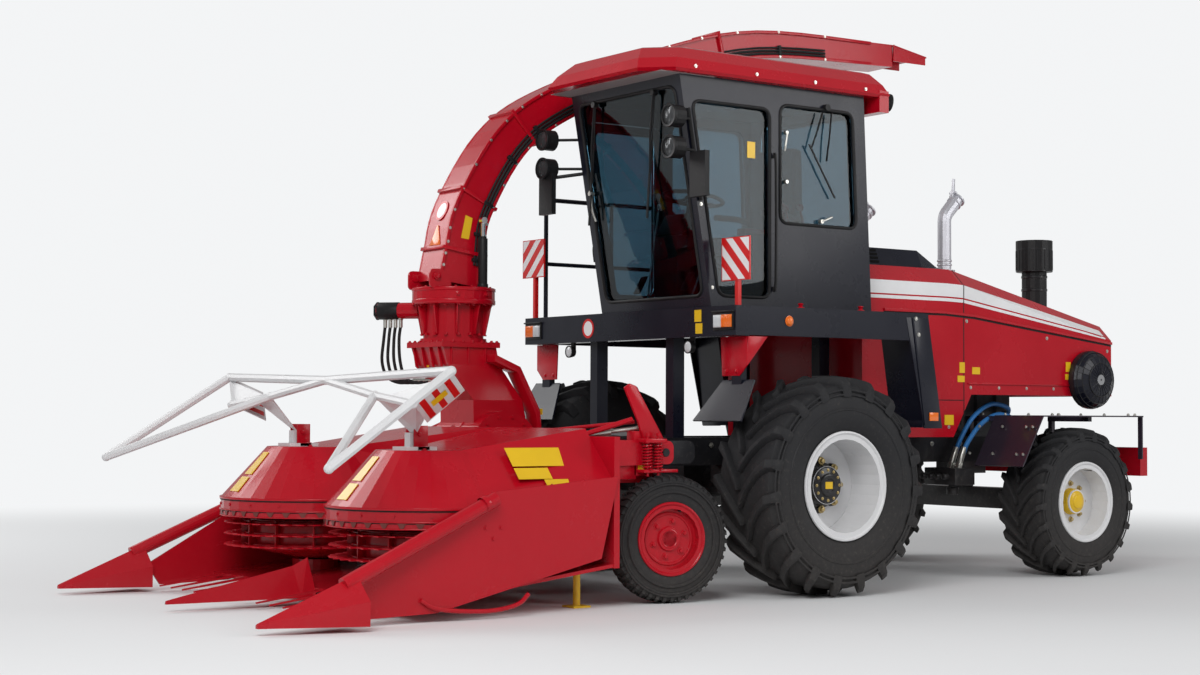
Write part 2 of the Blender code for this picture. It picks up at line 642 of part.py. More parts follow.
cab_middle = (CAB_LEFT + CAB_RIGHT) / 2
cab_half = (CAB_LEFT - CAB_RIGHT) / 2
front_window = [(cab_middle - cab_half + CAB_WALL * 1.5, FRONT_WINDOW_LOW),
                (cab_middle + cab_half - CAB_WALL * 1.5, FRONT_WINDOW_LOW),
                (cab_middle + cab_half - CAB_WALL * 1.5, FRONT_WINDOW_HIGH),
                (cab_middle - cab_half + CAB_WALL * 1.5, FRONT_WINDOW_HIGH)]
rear_window = [(cab_middle - cab_half + CAB_WALL * 3, REAR_WINDOW_LOW),
               (cab_middle + cab_half - CAB_WALL * 3, REAR_WINDOW_LOW),
               (cab_middle + cab_half - CAB_WALL * 3, SIDE_WINDOW_HIGH),
               (cab_middle - cab_half + CAB_WALL * 3, SIDE_WINDOW_HIGH)]
part("cab_shell", [plate(cab_side(0, cab_low, CAB_HIGH), "YZ", CAB_RIGHT, CAB_LEFT)], BLACK,
     cuts=[plate(cab_side(CAB_WALL, cab_low + CAB_FLOOR, CAB_HIGH - CAB_FLOOR), "YZ",
                 CAB_RIGHT + CAB_WALL, CAB_LEFT - CAB_WALL),
           plate(rounded(door_outline, CORNER), "YZ", CAB_LEFT - CAB_WALL - OVERRUN, CAB_LEFT + OVERRUN),
           plate(rounded(side_window, CORNER), "YZ", CAB_LEFT - CAB_WALL - OVERRUN, CAB_LEFT + OVERRUN),
           plate(rounded(door_outline, CORNER), "YZ", CAB_RIGHT - OVERRUN, CAB_RIGHT + CAB_WALL + OVERRUN),
           plate(rounded(side_window, CORNER), "YZ", CAB_RIGHT - OVERRUN, CAB_RIGHT + CAB_WALL + OVERRUN),
           plate(rounded(front_window, CORNER), "XZ", CAB_FRONT_HIGH - OVERRUN,
                 CAB_FRONT_LOW + CAB_WALL + OVERRUN),
           plate(rounded(rear_window, CORNER), "XZ", CAB_REAR_HIGH - CAB_WALL - OVERRUN,
                 CAB_REAR_LOW + OVERRUN)])

# Glass: each pane fills its cut, in the middle of the wall
GLASS_THICK = 0.008
glass_low = (CAB_WALL - GLASS_THICK) / 2


def side_pane(outline, wall_x, inward):
    x = wall_x + inward * glass_low
    return plate(rounded(inset(outline, GAP), CORNER - GAP), "YZ", x, x + inward * GLASS_THICK)


def leaning_pane(outline, front):
    """A pane that follows the cab's leaning wall."""
    fitted = rounded(inset(outline, GAP), CORNER - GAP)
    sign = 1 if front else -1
    rings = [[(x, cab_y(z, front) + sign * depth, z) for x, z in fitted]
             for depth in (glass_low, glass_low + GLASS_THICK)]
    return loft(rings)


part("windscreen", [leaning_pane(front_window, True)], GLASS, roughness=0.05)
part("glass_rear", [leaning_pane(rear_window, False)], GLASS, roughness=0.05)
part("glass_left_front", [side_pane(door_outline, CAB_LEFT, -1)], GLASS, roughness=0.05)
part("glass_left_rear", [side_pane(side_window, CAB_LEFT, -1)], GLASS, roughness=0.05)
part("glass_right_rear", [side_pane(side_window, CAB_RIGHT, 1)], GLASS, roughness=0.05)

# Door on the right, hinged at its rear edge on two barrels
DOOR_THICK = 0.036
DOOR_FRAME = 0.050
HINGE_RADIUS = 0.012
HINGE_HALF = 0.050
HINGE_SHARES = (0.15, 0.85)
hinge_x = CAB_RIGHT - HINGE_RADIUS - GAP
hinge_y = DOOR_REAR + HINGE_RADIUS / 2
strap_end = hinge_y - HINGE_RADIUS * 4
door_leaf = inset(door_outline, PLAY)
door_window = inset(door_leaf, DOOR_FRAME)
bits = [plate(rounded(door_leaf, CORNER - PLAY), "YZ", CAB_RIGHT, CAB_RIGHT + DOOR_THICK)]
for share in HINGE_SHARES:
    z = DOOR_LOW + (DOOR_HIGH - DOOR_LOW) * share
    bits.append(rod((hinge_x, hinge_y, z - HINGE_HALF), (hinge_x, hinge_y, z + HINGE_HALF), HINGE_RADIUS))
    strap = [(hinge_x - HINGE_RADIUS / 2, hinge_y), (hinge_x - HINGE_RADIUS / 2, strap_end),
             (CAB_RIGHT + BITE, strap_end), (CAB_RIGHT + BITE, hinge_y - HINGE_RADIUS * 2),
             (CAB_RIGHT - GAP, hinge_y - HINGE_RADIUS * 2), (CAB_RIGHT - GAP, hinge_y)]
    bits.append(plate(strap, "XY", z - HINGE_HALF * 0.8, z + HINGE_HALF * 0.8))
part("cab_door", bits, BLACK, origin=(hinge_x, hinge_y, DOOR_LOW),
     cuts=[plate(rounded(door_window, CORNER), "YZ", CAB_RIGHT - OVERRUN, CAB_RIGHT + CAB_WALL + OVERRUN)])
door_pane_x = CAB_RIGHT + (DOOR_THICK - GLASS_THICK) / 2
part("cab_door_glass",
     [plate(rounded(inset(door_window, GAP), CORNER - GAP), "YZ", door_pane_x,
            door_pane_x + GLASS_THICK)], GLASS, roughness=0.05,
     origin=(hinge_x, hinge_y, DOOR_LOW))

# Roof: a moulded cap with chamfered corners and a turned-down tail
ROOF_HALF = 0.660
ROOF_FRONT = -1.130
ROOF_REAR = 0.870
ROOF_RIM = 0.090
ROOF_HIGH = 3.450
ROOF_INSET = 0.130
ROOF_CORNER = 0.170
ROOF_TAIL_LOW = 3.160
ROOF_TAIL = 0.090


def roof_ring(z, shrink):
    half, cut = ROOF_HALF - shrink, ROOF_CORNER
    front, rear = ROOF_FRONT + shrink, ROOF_REAR - shrink * 0.5
    return [(cab_middle + x, y, z) for x, y in (
        (half, front + cut), (half, rear), (-half, rear), (-half, front + cut),
        (cut - half, front), (half - cut, front))]


roof_low = CAB_HIGH + GAP
part("cab_roof",
     [loft([roof_ring(roof_low, ROOF_INSET * 0.12), roof_ring(roof_low + ROOF_RIM * 0.2, 0),
            roof_ring(roof_low + ROOF_RIM, ROOF_INSET * 0.35),
            roof_ring(ROOF_HIGH - ROOF_RIM * 0.2, ROOF_INSET),
            roof_ring(ROOF_HIGH, ROOF_INSET * 1.4)]),
      box((cab_middle - ROOF_HALF * 0.99, ROOF_REAR - ROOF_TAIL, ROOF_TAIL_LOW),
          (cab_middle + ROOF_HALF * 0.99, ROOF_REAR - BITE / 2, roof_low + ROOF_RIM * 0.5))], RED)

# Seat, and the steering column with its wheel
SEAT_X = cab_middle
SEAT_Y = 0.250
SEAT_HALF = 0.240
SEAT_BASE_HALF = 0.150
SEAT_HIGH = 2.330
CUSHION = 0.120
SEAT_BACK_HIGH = 2.950
floor_z = cab_low + CAB_FLOOR + GAP
bits = [box((SEAT_X - SEAT_BASE_HALF, SEAT_Y - SEAT_BASE_HALF, floor_z),
            (SEAT_X + SEAT_BASE_HALF, SEAT_Y + SEAT_BASE_HALF, SEAT_HIGH - CUSHION + BITE)),
        box((SEAT_X - SEAT_HALF, SEAT_Y - SEAT_HALF, SEAT_HIGH - CUSHION),
            (SEAT_X + SEAT_HALF, SEAT_Y + SEAT_HALF, SEAT_HIGH)),
        box((SEAT_X - SEAT_HALF * 0.95, SEAT_Y + SEAT_HALF - CUSHION, SEAT_HIGH - CUSHION / 2),
            (SEAT_X + SEAT_HALF * 0.95, SEAT_Y + SEAT_HALF - BITE / 2, SEAT_BACK_HIGH))]
part("seat", bits, GREY, roughness=0.8)
COLUMN_FOOT_Y = -0.420
COLUMN_TOP_Y = -0.290
COLUMN_HIGH = 2.560
COLUMN_RADIUS = 0.045
STEERING_RADIUS = 0.195
STEERING_RIM = 0.014
lean = Vector((0, COLUMN_TOP_Y - COLUMN_FOOT_Y, COLUMN_HIGH - floor_z)).to_track_quat('Z', 'Y')
column_top = (SEAT_X, COLUMN_TOP_Y, COLUMN_HIGH)
spoke = lean @ Vector((STEERING_RADIUS, 0, 0))
across = lean @ Vector((0, STEERING_RADIUS, 0))
steering_ring = turned([(STEERING_RADIUS + STEERING_RIM * math.cos(a), -STEERING_RIM * math.sin(a))
                        for a in [2 * math.pi * k / 8 for k in range(8)]], 24, closed=True,
                       origin=column_top, turn=lean.to_matrix())
bits = [steering_ring,
        rod((SEAT_X, COLUMN_FOOT_Y, floor_z + COLUMN_RADIUS * 0.5), column_top, COLUMN_RADIUS * 1.4,
            COLUMN_RADIUS * 0.7),
        box((SEAT_X - COLUMN_RADIUS * 1.8, COLUMN_FOOT_Y - COLUMN_RADIUS * 1.8, floor_z),
            (SEAT_X + COLUMN_RADIUS * 1.8, COLUMN_FOOT_Y + COLUMN_RADIUS * 1.8, floor_z + COLUMN_RADIUS)),
        rod(tuple(Vector(column_top) - spoke), tuple(Vector(column_top) + spoke), STEERING_RIM * 0.7,
            sides=8),
        rod(column_top, tuple(Vector(column_top) - across), STEERING_RIM * 0.7, sides=8)]
part("steering_column", bits[1:2] + bits[2:] + bits[:1], BLACK)

# Mirror and work lamps on each front pillar
LAMP_RADIUS = 0.070
LAMP_DEPTH = 0.080
LAMP_ROWS = (2.975, 2.781)
LAMP_Y = -0.950
ARM_RADIUS = 0.012
ARM_ROOT_Y = -0.790
MIRROR_LOW = 2.470
MIRROR_HIGH = 2.750
MIRROR_WIDTH = 0.190
MIRROR_THICK = 0.035
# Per side: the cab wall, outwards sign, lamp and mirror distance from the wall, mirror Y
PILLAR_ROWS = (("left", CAB_LEFT, 1, 0.060, 0.170, -0.860), ("right", CAB_RIGHT, -1, 0.160, 0.170, -0.960))
for side_name, wall, out, lamp_off, mirror_off, mirror_y in PILLAR_ROWS:
    lamp_x = wall + out * lamp_off
    mirror_x = wall + out * mirror_off
    bits = [tube(rounded([(wall + out * (ARM_RADIUS + GAP), cab_y(z) + ARM_RADIUS * 2, z)
                          for z in (MIRROR_LOW, (MIRROR_HIGH + LAMP_ROWS[0]) / 2, LAMP_ROWS[0] + LAMP_RADIUS)],
                         ARM_RADIUS, closed=False), ARM_RADIUS)]
    for z in LAMP_ROWS:
        bits.append(rod((lamp_x, LAMP_Y - LAMP_DEPTH / 2, z), (lamp_x, LAMP_Y + LAMP_DEPTH / 2, z),
                        LAMP_RADIUS))
        bits.append(rod((wall + out * (ARM_RADIUS + GAP), cab_y(z) + ARM_RADIUS * 2, z),
                        (lamp_x, LAMP_Y, z), ARM_RADIUS * 0.8, sides=12))
    bits.append(rod((wall + out * (ARM_RADIUS + GAP), cab_y(MIRROR_HIGH) + ARM_RADIUS * 2, MIRROR_HIGH),
                    (mirror_x, mirror_y, MIRROR_HIGH - MIRROR_THICK), ARM_RADIUS, sides=12))
    bits.append(box((mirror_x - MIRROR_WIDTH / 2 * 0.6, mirror_y - MIRROR_THICK / 2, MIRROR_LOW),
                    (mirror_x + MIRROR_WIDTH / 2, mirror_y + MIRROR_THICK / 2, MIRROR_HIGH)))
    part(f"mirror_{side_name}", bits, BLACK)

# Warning boards: a square sheet on a post at each front corner of the platform
BOARD_SIZE = 0.270
BOARD_THICK = 0.010
BOARD_POST = 0.014
# Per side: X, Y and the board's centre height
BOARD_ROWS = (("left", 1.087, -0.560, 2.100), ("right", -1.100, -0.600, 2.230))
for side_name, x, y, z in BOARD_ROWS:
    part(f"warning_board_{side_name}",
         [box((x - BOARD_POST, y - BOARD_POST, DECK_HIGH + GAP), (x + BOARD_POST, y + BOARD_POST, z)),
          box((x - BOARD_SIZE / 2, y - BOARD_POST - BOARD_THICK + BITE / 5, z - BOARD_SIZE / 2),
              (x + BOARD_SIZE / 2, y - BOARD_POST + BITE / 5, z + BOARD_SIZE / 2))], RED)

# Handrail along the right walkway
RAIL_X = -1.120
RAIL_RADIUS = 0.016
RAIL_HIGH = 2.660
RAIL_MID = 2.200
RAIL_POSTS = (-0.500, 0.080, 0.660)
loop = rounded([(RAIL_X, RAIL_POSTS[0], DECK_HIGH + GAP), (RAIL_X, RAIL_POSTS[0], RAIL_HIGH),
                (RAIL_X, RAIL_POSTS[-1], RAIL_HIGH), (RAIL_X, RAIL_POSTS[-1], DECK_HIGH + GAP)],
               RAIL_RADIUS * 4, closed=False)
part("handrail",
     [tube(loop, RAIL_RADIUS),
      rod((RAIL_X, RAIL_POSTS[1], DECK_HIGH + GAP), (RAIL_X, RAIL_POSTS[1], RAIL_HIGH), RAIL_RADIUS * 0.9),
      rod((RAIL_X, RAIL_POSTS[0], RAIL_MID), (RAIL_X, RAIL_POSTS[-1], RAIL_MID), RAIL_RADIUS * 0.9)],
     BLACK)

# Ladder at the right walkway's rear end
LADDER_IN = 0.780
LADDER_OUT = 1.130
LADDER_LOW = 0.480
LADDER_LEAN = 0.300
STRINGER = 0.024
STEP_DEPTH = 0.180
STEP_THICK = 0.028
STEP_SHARES = (0.04, 0.30, 0.56, 0.82)
ladder_top_y = DECK_REAR + GAP
bits = []
for x in (LADDER_IN, LADDER_OUT - STRINGER):
    outline = [(ladder_top_y + LADDER_LEAN, LADDER_LOW), (ladder_top_y + LADDER_LEAN + STEP_DEPTH, LADDER_LOW),
               (ladder_top_y + STEP_DEPTH * 0.6, DECK_HIGH), (ladder_top_y, DECK_HIGH),
               (ladder_top_y, DECK_LOW)]
    bits.append(plate(outline, "YZ", -x, -x - STRINGER))
for share in STEP_SHARES:
    z = LADDER_LOW + (DECK_HIGH - LADDER_LOW) * share
    y = ladder_top_y + LADDER_LEAN * (1 - share)
    bits.append(box((-LADDER_IN - BITE, y + BITE, z), (-LADDER_OUT + BITE, y + STEP_DEPTH * 0.75, z + STEP_THICK)))
part("ladder", bits, BLACK)

# Rear mudguards over the steered wheels, carried from the chassis beams
FENDER_IN = 0.750
FENDER_OUT = 1.200
FENDER_FRONT_LOW = (1.900, 0.780)
FENDER_FRONT_HIGH = (2.110, 1.135)
FENDER_REAR = 3.180
FENDER_TAIL_LOW = 0.820
FENDER_SHEET = 0.010
FENDER_BAR = 0.040
FENDER_BAR_ROWS = (2.200, 3.080)
for side_name, side in SIDES:
    (y0, z0), (y1, z1) = FENDER_FRONT_LOW, FENDER_FRONT_HIGH
    bits = [box((side * FENDER_IN, y1 - BITE / 2, z1 - FENDER_SHEET), (side * FENDER_OUT, FENDER_REAR, z1)),
            sheet([(side * FENDER_IN, y0, z0), (side * (FENDER_OUT - BITE / 5), y0, z0),
                   (side * (FENDER_OUT - BITE / 5), y1 + BITE / 3, z1 - BITE / 4),
                   (side * FENDER_IN, y1 + BITE / 3, z1 - BITE / 4)], FENDER_SHEET),
            box((side * (FENDER_OUT - FENDER_BAR), FENDER_REAR - FENDER_SHEET * 1.5, FENDER_TAIL_LOW),
                (side * (FENDER_OUT - BITE / 3), FENDER_REAR - BITE / 3, z1 - BITE / 3))]
    for y in FENDER_BAR_ROWS:
        bar_high = z1 - FENDER_SHEET / 2
        bits.append(box((side * (BEAM_X - FENDER_BAR / 2), y - FENDER_BAR / 2, bar_high - FENDER_BAR),
                        (side * (FENDER_IN + FENDER_BAR), y + FENDER_BAR / 2, bar_high)))
        bits.append(box((side * (BEAM_X - FENDER_BAR / 2 + BITE / 4), y - FENDER_BAR / 2 + BITE / 4, BEAM_HIGH + GAP),
                        (side * (BEAM_X + FENDER_BAR / 2), y + FENDER_BAR / 2 - BITE / 4, bar_high - BITE / 4)))
    part(f"fender_{side_name}", bits, BLACK)

# Rear bumper bar with the hitch
BUMPER_HALF = 1.000
BUMPER_LOW = 0.690
BUMPER_HIGH = 0.900
BUMPER_THICK = 0.080
HITCH_HALF = 0.090
part("rear_bumper",
     [box((-BUMPER_HALF, REAR_REACH - BUMPER_THICK, BUMPER_LOW), (BUMPER_HALF, REAR_REACH, BUMPER_HIGH)),
      box((-BEAM_X - BEAM_WIDTH / 2, BEAM_REAR + GAP, BUMPER_LOW + BITE),
          (BEAM_X + BEAM_WIDTH / 2, REAR_REACH - BUMPER_THICK / 2, BUMPER_HIGH - BITE))], RED)

# Chopper and blower housing, its throat, its riser to the turret and the turret's fixed ring
INTAKE_HALF = 0.400
INTAKE_FRONT = -1.500
INTAKE_LOW = 0.240
INTAKE_HIGH = 0.975
THROAT_HALF = 0.340
THROAT_LOW = 0.290
THROAT_HIGH = 0.600
THROAT_DEPTH = 0.300
BLOWER_Y = -1.320
BLOWER_Z = 0.880
BLOWER_RADIUS = 0.270
BLOWER_IN = -0.380
BLOWER_OUT = -0.900
TURRET_X = -0.700
TURRET_Y = -1.530
RISER_WALL = 0.020
NECK_RADIUS = 0.200
NECK_LOW = 1.560
RING_RADIUS = 0.275
RING_LOW = 1.850
RING_THICK = 0.035
FLANGE_THICK = 0.025
# Riser sections from below: height, X from, X to, Y from, Y to
RISER_ROWS = ((1.000, -0.885, -0.470, -1.510, -1.080), (1.220, -0.885, -0.470, -1.515, -1.130),
              (1.450, -0.890, -0.490, -1.700, -1.300), (1.575, -0.905, -0.495, -1.735, -1.325))


def riser(inset_by):
    return loft([[(x0 + inset_by, y0 + inset_by, z), (x1 - inset_by, y0 + inset_by, z),
                  (x1 - inset_by, y1 - inset_by, z), (x0 + inset_by, y1 - inset_by, z)]
                 for z, x0, x1, y0, y1 in RISER_ROWS])


top_row = RISER_ROWS[-1]
bits = [box((-INTAKE_HALF, INTAKE_FRONT, INTAKE_LOW), (INTAKE_HALF, BEAM_FRONT - GAP, INTAKE_HIGH)),
        rod((BLOWER_IN, BLOWER_Y, BLOWER_Z), (BLOWER_OUT, BLOWER_Y, BLOWER_Z), BLOWER_RADIUS, sides=28),
        riser(0),
        box((top_row[1] - RISER_WALL, top_row[3] - RISER_WALL, top_row[0] - BITE),
            (top_row[2] + RISER_WALL, top_row[4] + RISER_WALL, top_row[0] + FLANGE_THICK))]
cuts = [riser(RISER_WALL),
        rod((TURRET_X, TURRET_Y, NECK_LOW - OVERRUN * 2),
            (TURRET_X, TURRET_Y, top_row[0] + FLANGE_THICK + OVERRUN), NECK_RADIUS - RISER_WALL, sides=24),
        box((-THROAT_HALF, INTAKE_FRONT - OVERRUN, THROAT_LOW),
            (THROAT_HALF, INTAKE_FRONT + THROAT_DEPTH, THROAT_HIGH))]
part("chopper_housing", bits, RED, cuts=cuts)

# Neck: a flanged tube on the riser, with the fixed ring and the motor that turns the spout
MOTOR_START = (-0.880, -1.680)
MOTOR_END = (-1.120, -1.860)
MOTOR_RADIUS = 0.055
motor_z = RING_LOW - MOTOR_RADIUS * 0.6
neck_low = top_row[0] + FLANGE_THICK + GAP
part("spout_neck",
     [rod((TURRET_X, TURRET_Y, neck_low), (TURRET_X, TURRET_Y, neck_low + FLANGE_THICK),
          NECK_RADIUS + RISER_WALL, sides=24),
      rod((TURRET_X, TURRET_Y, neck_low + BITE), (TURRET_X, TURRET_Y, RING_LOW + BITE), NECK_RADIUS, sides=24),
      rod((TURRET_X, TURRET_Y, RING_LOW), (TURRET_X, TURRET_Y, RING_LOW + RING_THICK), RING_RADIUS, sides=28),
      rod((*MOTOR_START, motor_z), (*MOTOR_END, motor_z), MOTOR_RADIUS)], RED,
     cuts=[rod((TURRET_X, TURRET_Y, neck_low - OVERRUN), (TURRET_X, TURRET_Y, RING_LOW + RING_THICK + OVERRUN),
               NECK_RADIUS - RISER_WALL, sides=24)])

# Turret and spout are aimed a little to the left, as the machine parks
SPOUT_AIM = math.radians(-3)
spout_aim = bpy.data.objects.new("spout_aim", None)
spout_aim.parent = machine
spout_aim.location = (TURRET_X, TURRET_Y, 0)
spout_aim.rotation_euler = (0, 0, SPOUT_AIM)
parts.objects.link(spout_aim)

SPOUT_HALF = 0.140
SPOUT_WALL = 0.012
COLLAR_LOW = RING_LOW + RING_THICK + GAP
COLLAR_HIGH = 1.960
HINGE_Z = 2.030
SPOUT_HINGE_Y = -0.215
EAR_THICK = 0.018
bits = [rod((0, 0, COLLAR_LOW), (0, 0, COLLAR_HIGH), RING_RADIUS, sides=28, carrier=spout_aim)]
for side in (1, -1):
    ear_x = side * (SPOUT_HALF + GAP)
    bits.append(plate(rounded([(SPOUT_HINGE_Y - 0.17 * RING_RADIUS, COLLAR_HIGH - BITE),
                               (SPOUT_HINGE_Y + 0.5 * RING_RADIUS, COLLAR_HIGH - BITE),
                               (SPOUT_HINGE_Y + 0.17 * RING_RADIUS, HINGE_Z + 0.17 * RING_RADIUS),
                               (SPOUT_HINGE_Y - 0.17 * RING_RADIUS, HINGE_Z + 0.17 * RING_RADIUS)],
                              0.1 * RING_RADIUS), "YZ", ear_x, ear_x + side * EAR_THICK, carrier=spout_aim))
RAM_X = 0.215
RAM_Y = 0.100
RAM_RADIUS = 0.028
RAM_HIGH = 2.280
RAM_ROD_HIGH = 2.420
bits.append(rod((RAM_X, RAM_Y, COLLAR_HIGH - BITE), (RAM_X, RAM_Y, RAM_HIGH), RAM_RADIUS, carrier=spout_aim))
bits.append(rod((RAM_X, RAM_Y, RAM_HIGH - BITE), (RAM_X, RAM_Y, RAM_ROD_HIGH), RAM_RADIUS * 0.5,
                carrier=spout_aim))
part("spout_turret", bits, RED,
     cuts=[rod((0, 0, COLLAR_LOW - OVERRUN), (0, 0, COLLAR_HIGH + OVERRUN), NECK_RADIUS - RISER_WALL,
               sides=24, carrier=spout_aim)],
     origin=(0, 0, COLLAR_LOW))

# Spout: a square duct along a curve; rows are the middle's reach, its height and the duct's depth
SPOUT_ROWS = ((-0.030, 1.985, 0.330), (0.000, 2.200, 0.300), (0.065, 2.490, 0.275),
              (0.345, 2.950, 0.262), (0.730, 3.245, 0.245), (1.530, 3.590, 0.220),
              (2.430, 3.835, 0.200), (3.730, 3.885, 0.170))
SPOUT_STEPS = 4


def spline_through(rows, steps):
    """Points on a smooth curve through rows, with the rows' other columns in step."""
    rows = [Vector(row) for row in rows]
    padded = [rows[0] * 2 - rows[1], *rows, rows[-1] * 2 - rows[-2]]
    result = []
    for before, start, end, after in zip(padded, padded[1:], padded[2:], padded[3:]):
        for step in range(steps):
            t = step / steps
            result.append((start * 2 + (end - before) * t
                           + (before * 2 - start * 5 + end * 4 - after) * t ** 2
                           + (start * 3 - before - end * 3 + after) * t ** 3) / 2)
    result.append(rows[-1])
    return result


def spout_outline(wall, run):
    """The duct's side view, inset by its wall and run on past both ends."""
    line = spline_through(SPOUT_ROWS, SPOUT_STEPS)
    outer, inner = [], []
    for index, row in enumerate(line):
        ahead = line[min(index + 1, len(line) - 1)] - line[max(index - 1, 0)]
        along = Vector((ahead[0], ahead[1])).normalized()
        middle = Vector((row[0], row[1]))
        if index == 0:
            middle -= along * run
        if index == len(line) - 1:
            middle += along * run
        normal = Vector((-along[1], along[0]))
        half = row[2] / 2 - wall
        outer.append(tuple(middle + normal * half))
        inner.append(tuple(middle - normal * half))
    return outer + inner[::-1]


duct_outline = spout_outline(0, 0)
part("spout", [plate(duct_outline, "YZ", -SPOUT_HALF, SPOUT_HALF, carrier=spout_aim)], RED,
     cuts=[plate(spout_outline(SPOUT_WALL, OVERRUN), "YZ", SPOUT_WALL - SPOUT_HALF,
                 SPOUT_HALF - SPOUT_WALL, carrier=spout_aim)],
     origin=(0, SPOUT_HINGE_Y, HINGE_Z))

# Deflector flap: a sheet with two cheeks outside the duct, on a hinge tube at the spout's end
FLAP_LENGTH = 0.330
FLAP_DROP = 0.060
FLAP_SHEET = 0.010
FLAP_CHEEK = 0.120
FLAP_TUBE = 0.008
half_way = len(duct_outline) // 2
end_top, end_low = (Vector(duct_outline[index]) for index in (half_way - 1, half_way))
end_down = (end_low - end_top).normalized()
end_along = Vector((-end_down[1], end_down[0]))
flap_y, flap_z = end_top + end_down * FLAP_TUBE + end_along * (FLAP_TUBE + GAP)
flap_half = SPOUT_HALF + PLAY + FLAP_SHEET
flap_top = [(flap_y, flap_z - FLAP_SHEET / 2), (flap_y + FLAP_LENGTH, flap_z - FLAP_SHEET / 2 - FLAP_DROP),
            (flap_y + FLAP_LENGTH, flap_z + FLAP_SHEET / 2 - FLAP_DROP), (flap_y, flap_z + FLAP_SHEET / 2)]
cheek = [(flap_y, flap_z + FLAP_TUBE * 0.3), (flap_y - FLAP_TUBE * 0.5, flap_z - FLAP_CHEEK),
         (flap_y + FLAP_LENGTH * 0.97, flap_z - FLAP_DROP - FLAP_CHEEK * 0.5),
         (flap_y + FLAP_LENGTH * 0.97, flap_z - FLAP_DROP + FLAP_TUBE * 0.2)]
bits = [plate(flap_top, "YZ", -flap_half, flap_half, carrier=spout_aim),
        rod((-flap_half, flap_y, flap_z), (flap_half, flap_y, flap_z), FLAP_TUBE, sides=12,
            carrier=spout_aim)]
for side in (1, -1):
    bits.append(plate(cheek, "YZ", side * (SPOUT_HALF + PLAY), side * (flap_half - FLAP_SHEET * 0.2),
                      carrier=spout_aim))
part("spout_flap", bits, RED, origin=(0, flap_y, flap_z))

# Header frame: rear wall with the throat, combed floor, crop deck and carrying arms
HEADER_HALF = 1.290
HEADER_WALL_REAR = -1.620
HEADER_WALL_THICK = 0.040
HEADER_WALL_LOW = 0.240
HEADER_WALL_HIGH = 1.000
FLOOR_FRONT_Y = -2.960
FLOOR_FRONT_Z = 0.085
FLOOR_REAR_Z = 0.250
PAN_THICK = 0.020
FINGER_COUNT = 7
FINGER_LENGTH = 0.420
FINGER_WIDTH = 0.036
FINGER_TIP = 0.010
FINGER_INNER = 0.170
floor_run = HEADER_WALL_REAR - FLOOR_FRONT_Y
floor_tilt = math.atan2(FLOOR_REAR_Z - FLOOR_FRONT_Z, floor_run)
floor_turn = Matrix.Rotation(floor_tilt, 3, 'X')
floor_length = math.hypot(floor_run, FLOOR_REAR_Z - FLOOR_FRONT_Z)


finger_spots = [FINGER_INNER + (HEADER_HALF - FINGER_WIDTH * 3 - FINGER_INNER) * k / (FINGER_COUNT - 1)
                for k in range(FINGER_COUNT)]


def finger(x):
    """A pointed bar ahead of the floor, in the floor's own plane."""
    rows = ((BITE * 2, FINGER_WIDTH / 2, PAN_THICK * 0.8), (-FINGER_LENGTH, FINGER_TIP / 2, PAN_THICK * 0.6))
    return loft([[(x - half, y, PAN_THICK * 0.15), (x + half, y, PAN_THICK * 0.15),
                  (x + half, y, top), (x - half, y, top)] for y, half, top in rows],
                origin=(0, FLOOR_FRONT_Y, FLOOR_FRONT_Z), turn=floor_turn)


ARM_LOW = 0.830
ARM_HIGH = 0.970
ARM_IN = PIVOT_EAR_OUT + PLAY / 2
ARM_OUT = 1.055
PIN_CLEAR = 0.001
bits = [box((-HEADER_HALF, HEADER_WALL_REAR - HEADER_WALL_THICK, HEADER_WALL_LOW),
            (HEADER_HALF, HEADER_WALL_REAR, HEADER_WALL_HIGH)),
        box((-HEADER_HALF + BITE / 2, 0, 0), (HEADER_HALF - BITE / 2, floor_length - BITE, PAN_THICK),
            origin=(0, FLOOR_FRONT_Y, FLOOR_FRONT_Z), turn=floor_turn),
        *(finger(side * x) for side in (1, -1) for x in finger_spots)]
cuts = [box((-THROAT_HALF, HEADER_WALL_REAR + OVERRUN, THROAT_LOW),
            (THROAT_HALF, HEADER_WALL_REAR - HEADER_WALL_THICK - OVERRUN, THROAT_HIGH))]
for side_name, side in SIDES:
    arm = rounded([(HEADER_WALL_REAR - BITE, ARM_LOW - BITE), (PIVOT_Y + PIVOT_TUBE_RADIUS, ARM_LOW),
                   (PIVOT_Y + PIVOT_TUBE_RADIUS, ARM_HIGH), (HEADER_WALL_REAR - BITE, ARM_HIGH + BITE)],
                  PIVOT_TUBE_RADIUS * 0.7)
    bits.append(plate(arm, "YZ", side * ARM_IN, side * ARM_OUT))
    cuts.append(rod((side * (ARM_IN - OVERRUN), PIVOT_Y, PIVOT_Z), (side * (ARM_OUT + OVERRUN), PIVOT_Y, PIVOT_Z),
                    PIVOT_PIN_RADIUS + PIN_CLEAR))
DRUM_X = 0.690
DRUM_Y = -2.540
BOSS_RADIUS = 0.150
BOSS_LOW = 0.120
BOSS_HIGH = 0.215
for side_name, side in SIDES:
    bits.append(rod((side * DRUM_X, DRUM_Y, BOSS_LOW), (side * DRUM_X, DRUM_Y, BOSS_HIGH), BOSS_RADIUS,
                    sides=20))
STAND_X = 1.030
STAND_Y = -1.740
STAND_RADIUS = 0.022
SLEEVE_WALL = 0.010
SLEEVE_HIGH = 0.380
sleeve_low = FLOOR_REAR_Z - (STAND_Y - HEADER_WALL_REAR) * math.tan(-floor_tilt) - PAN_THICK
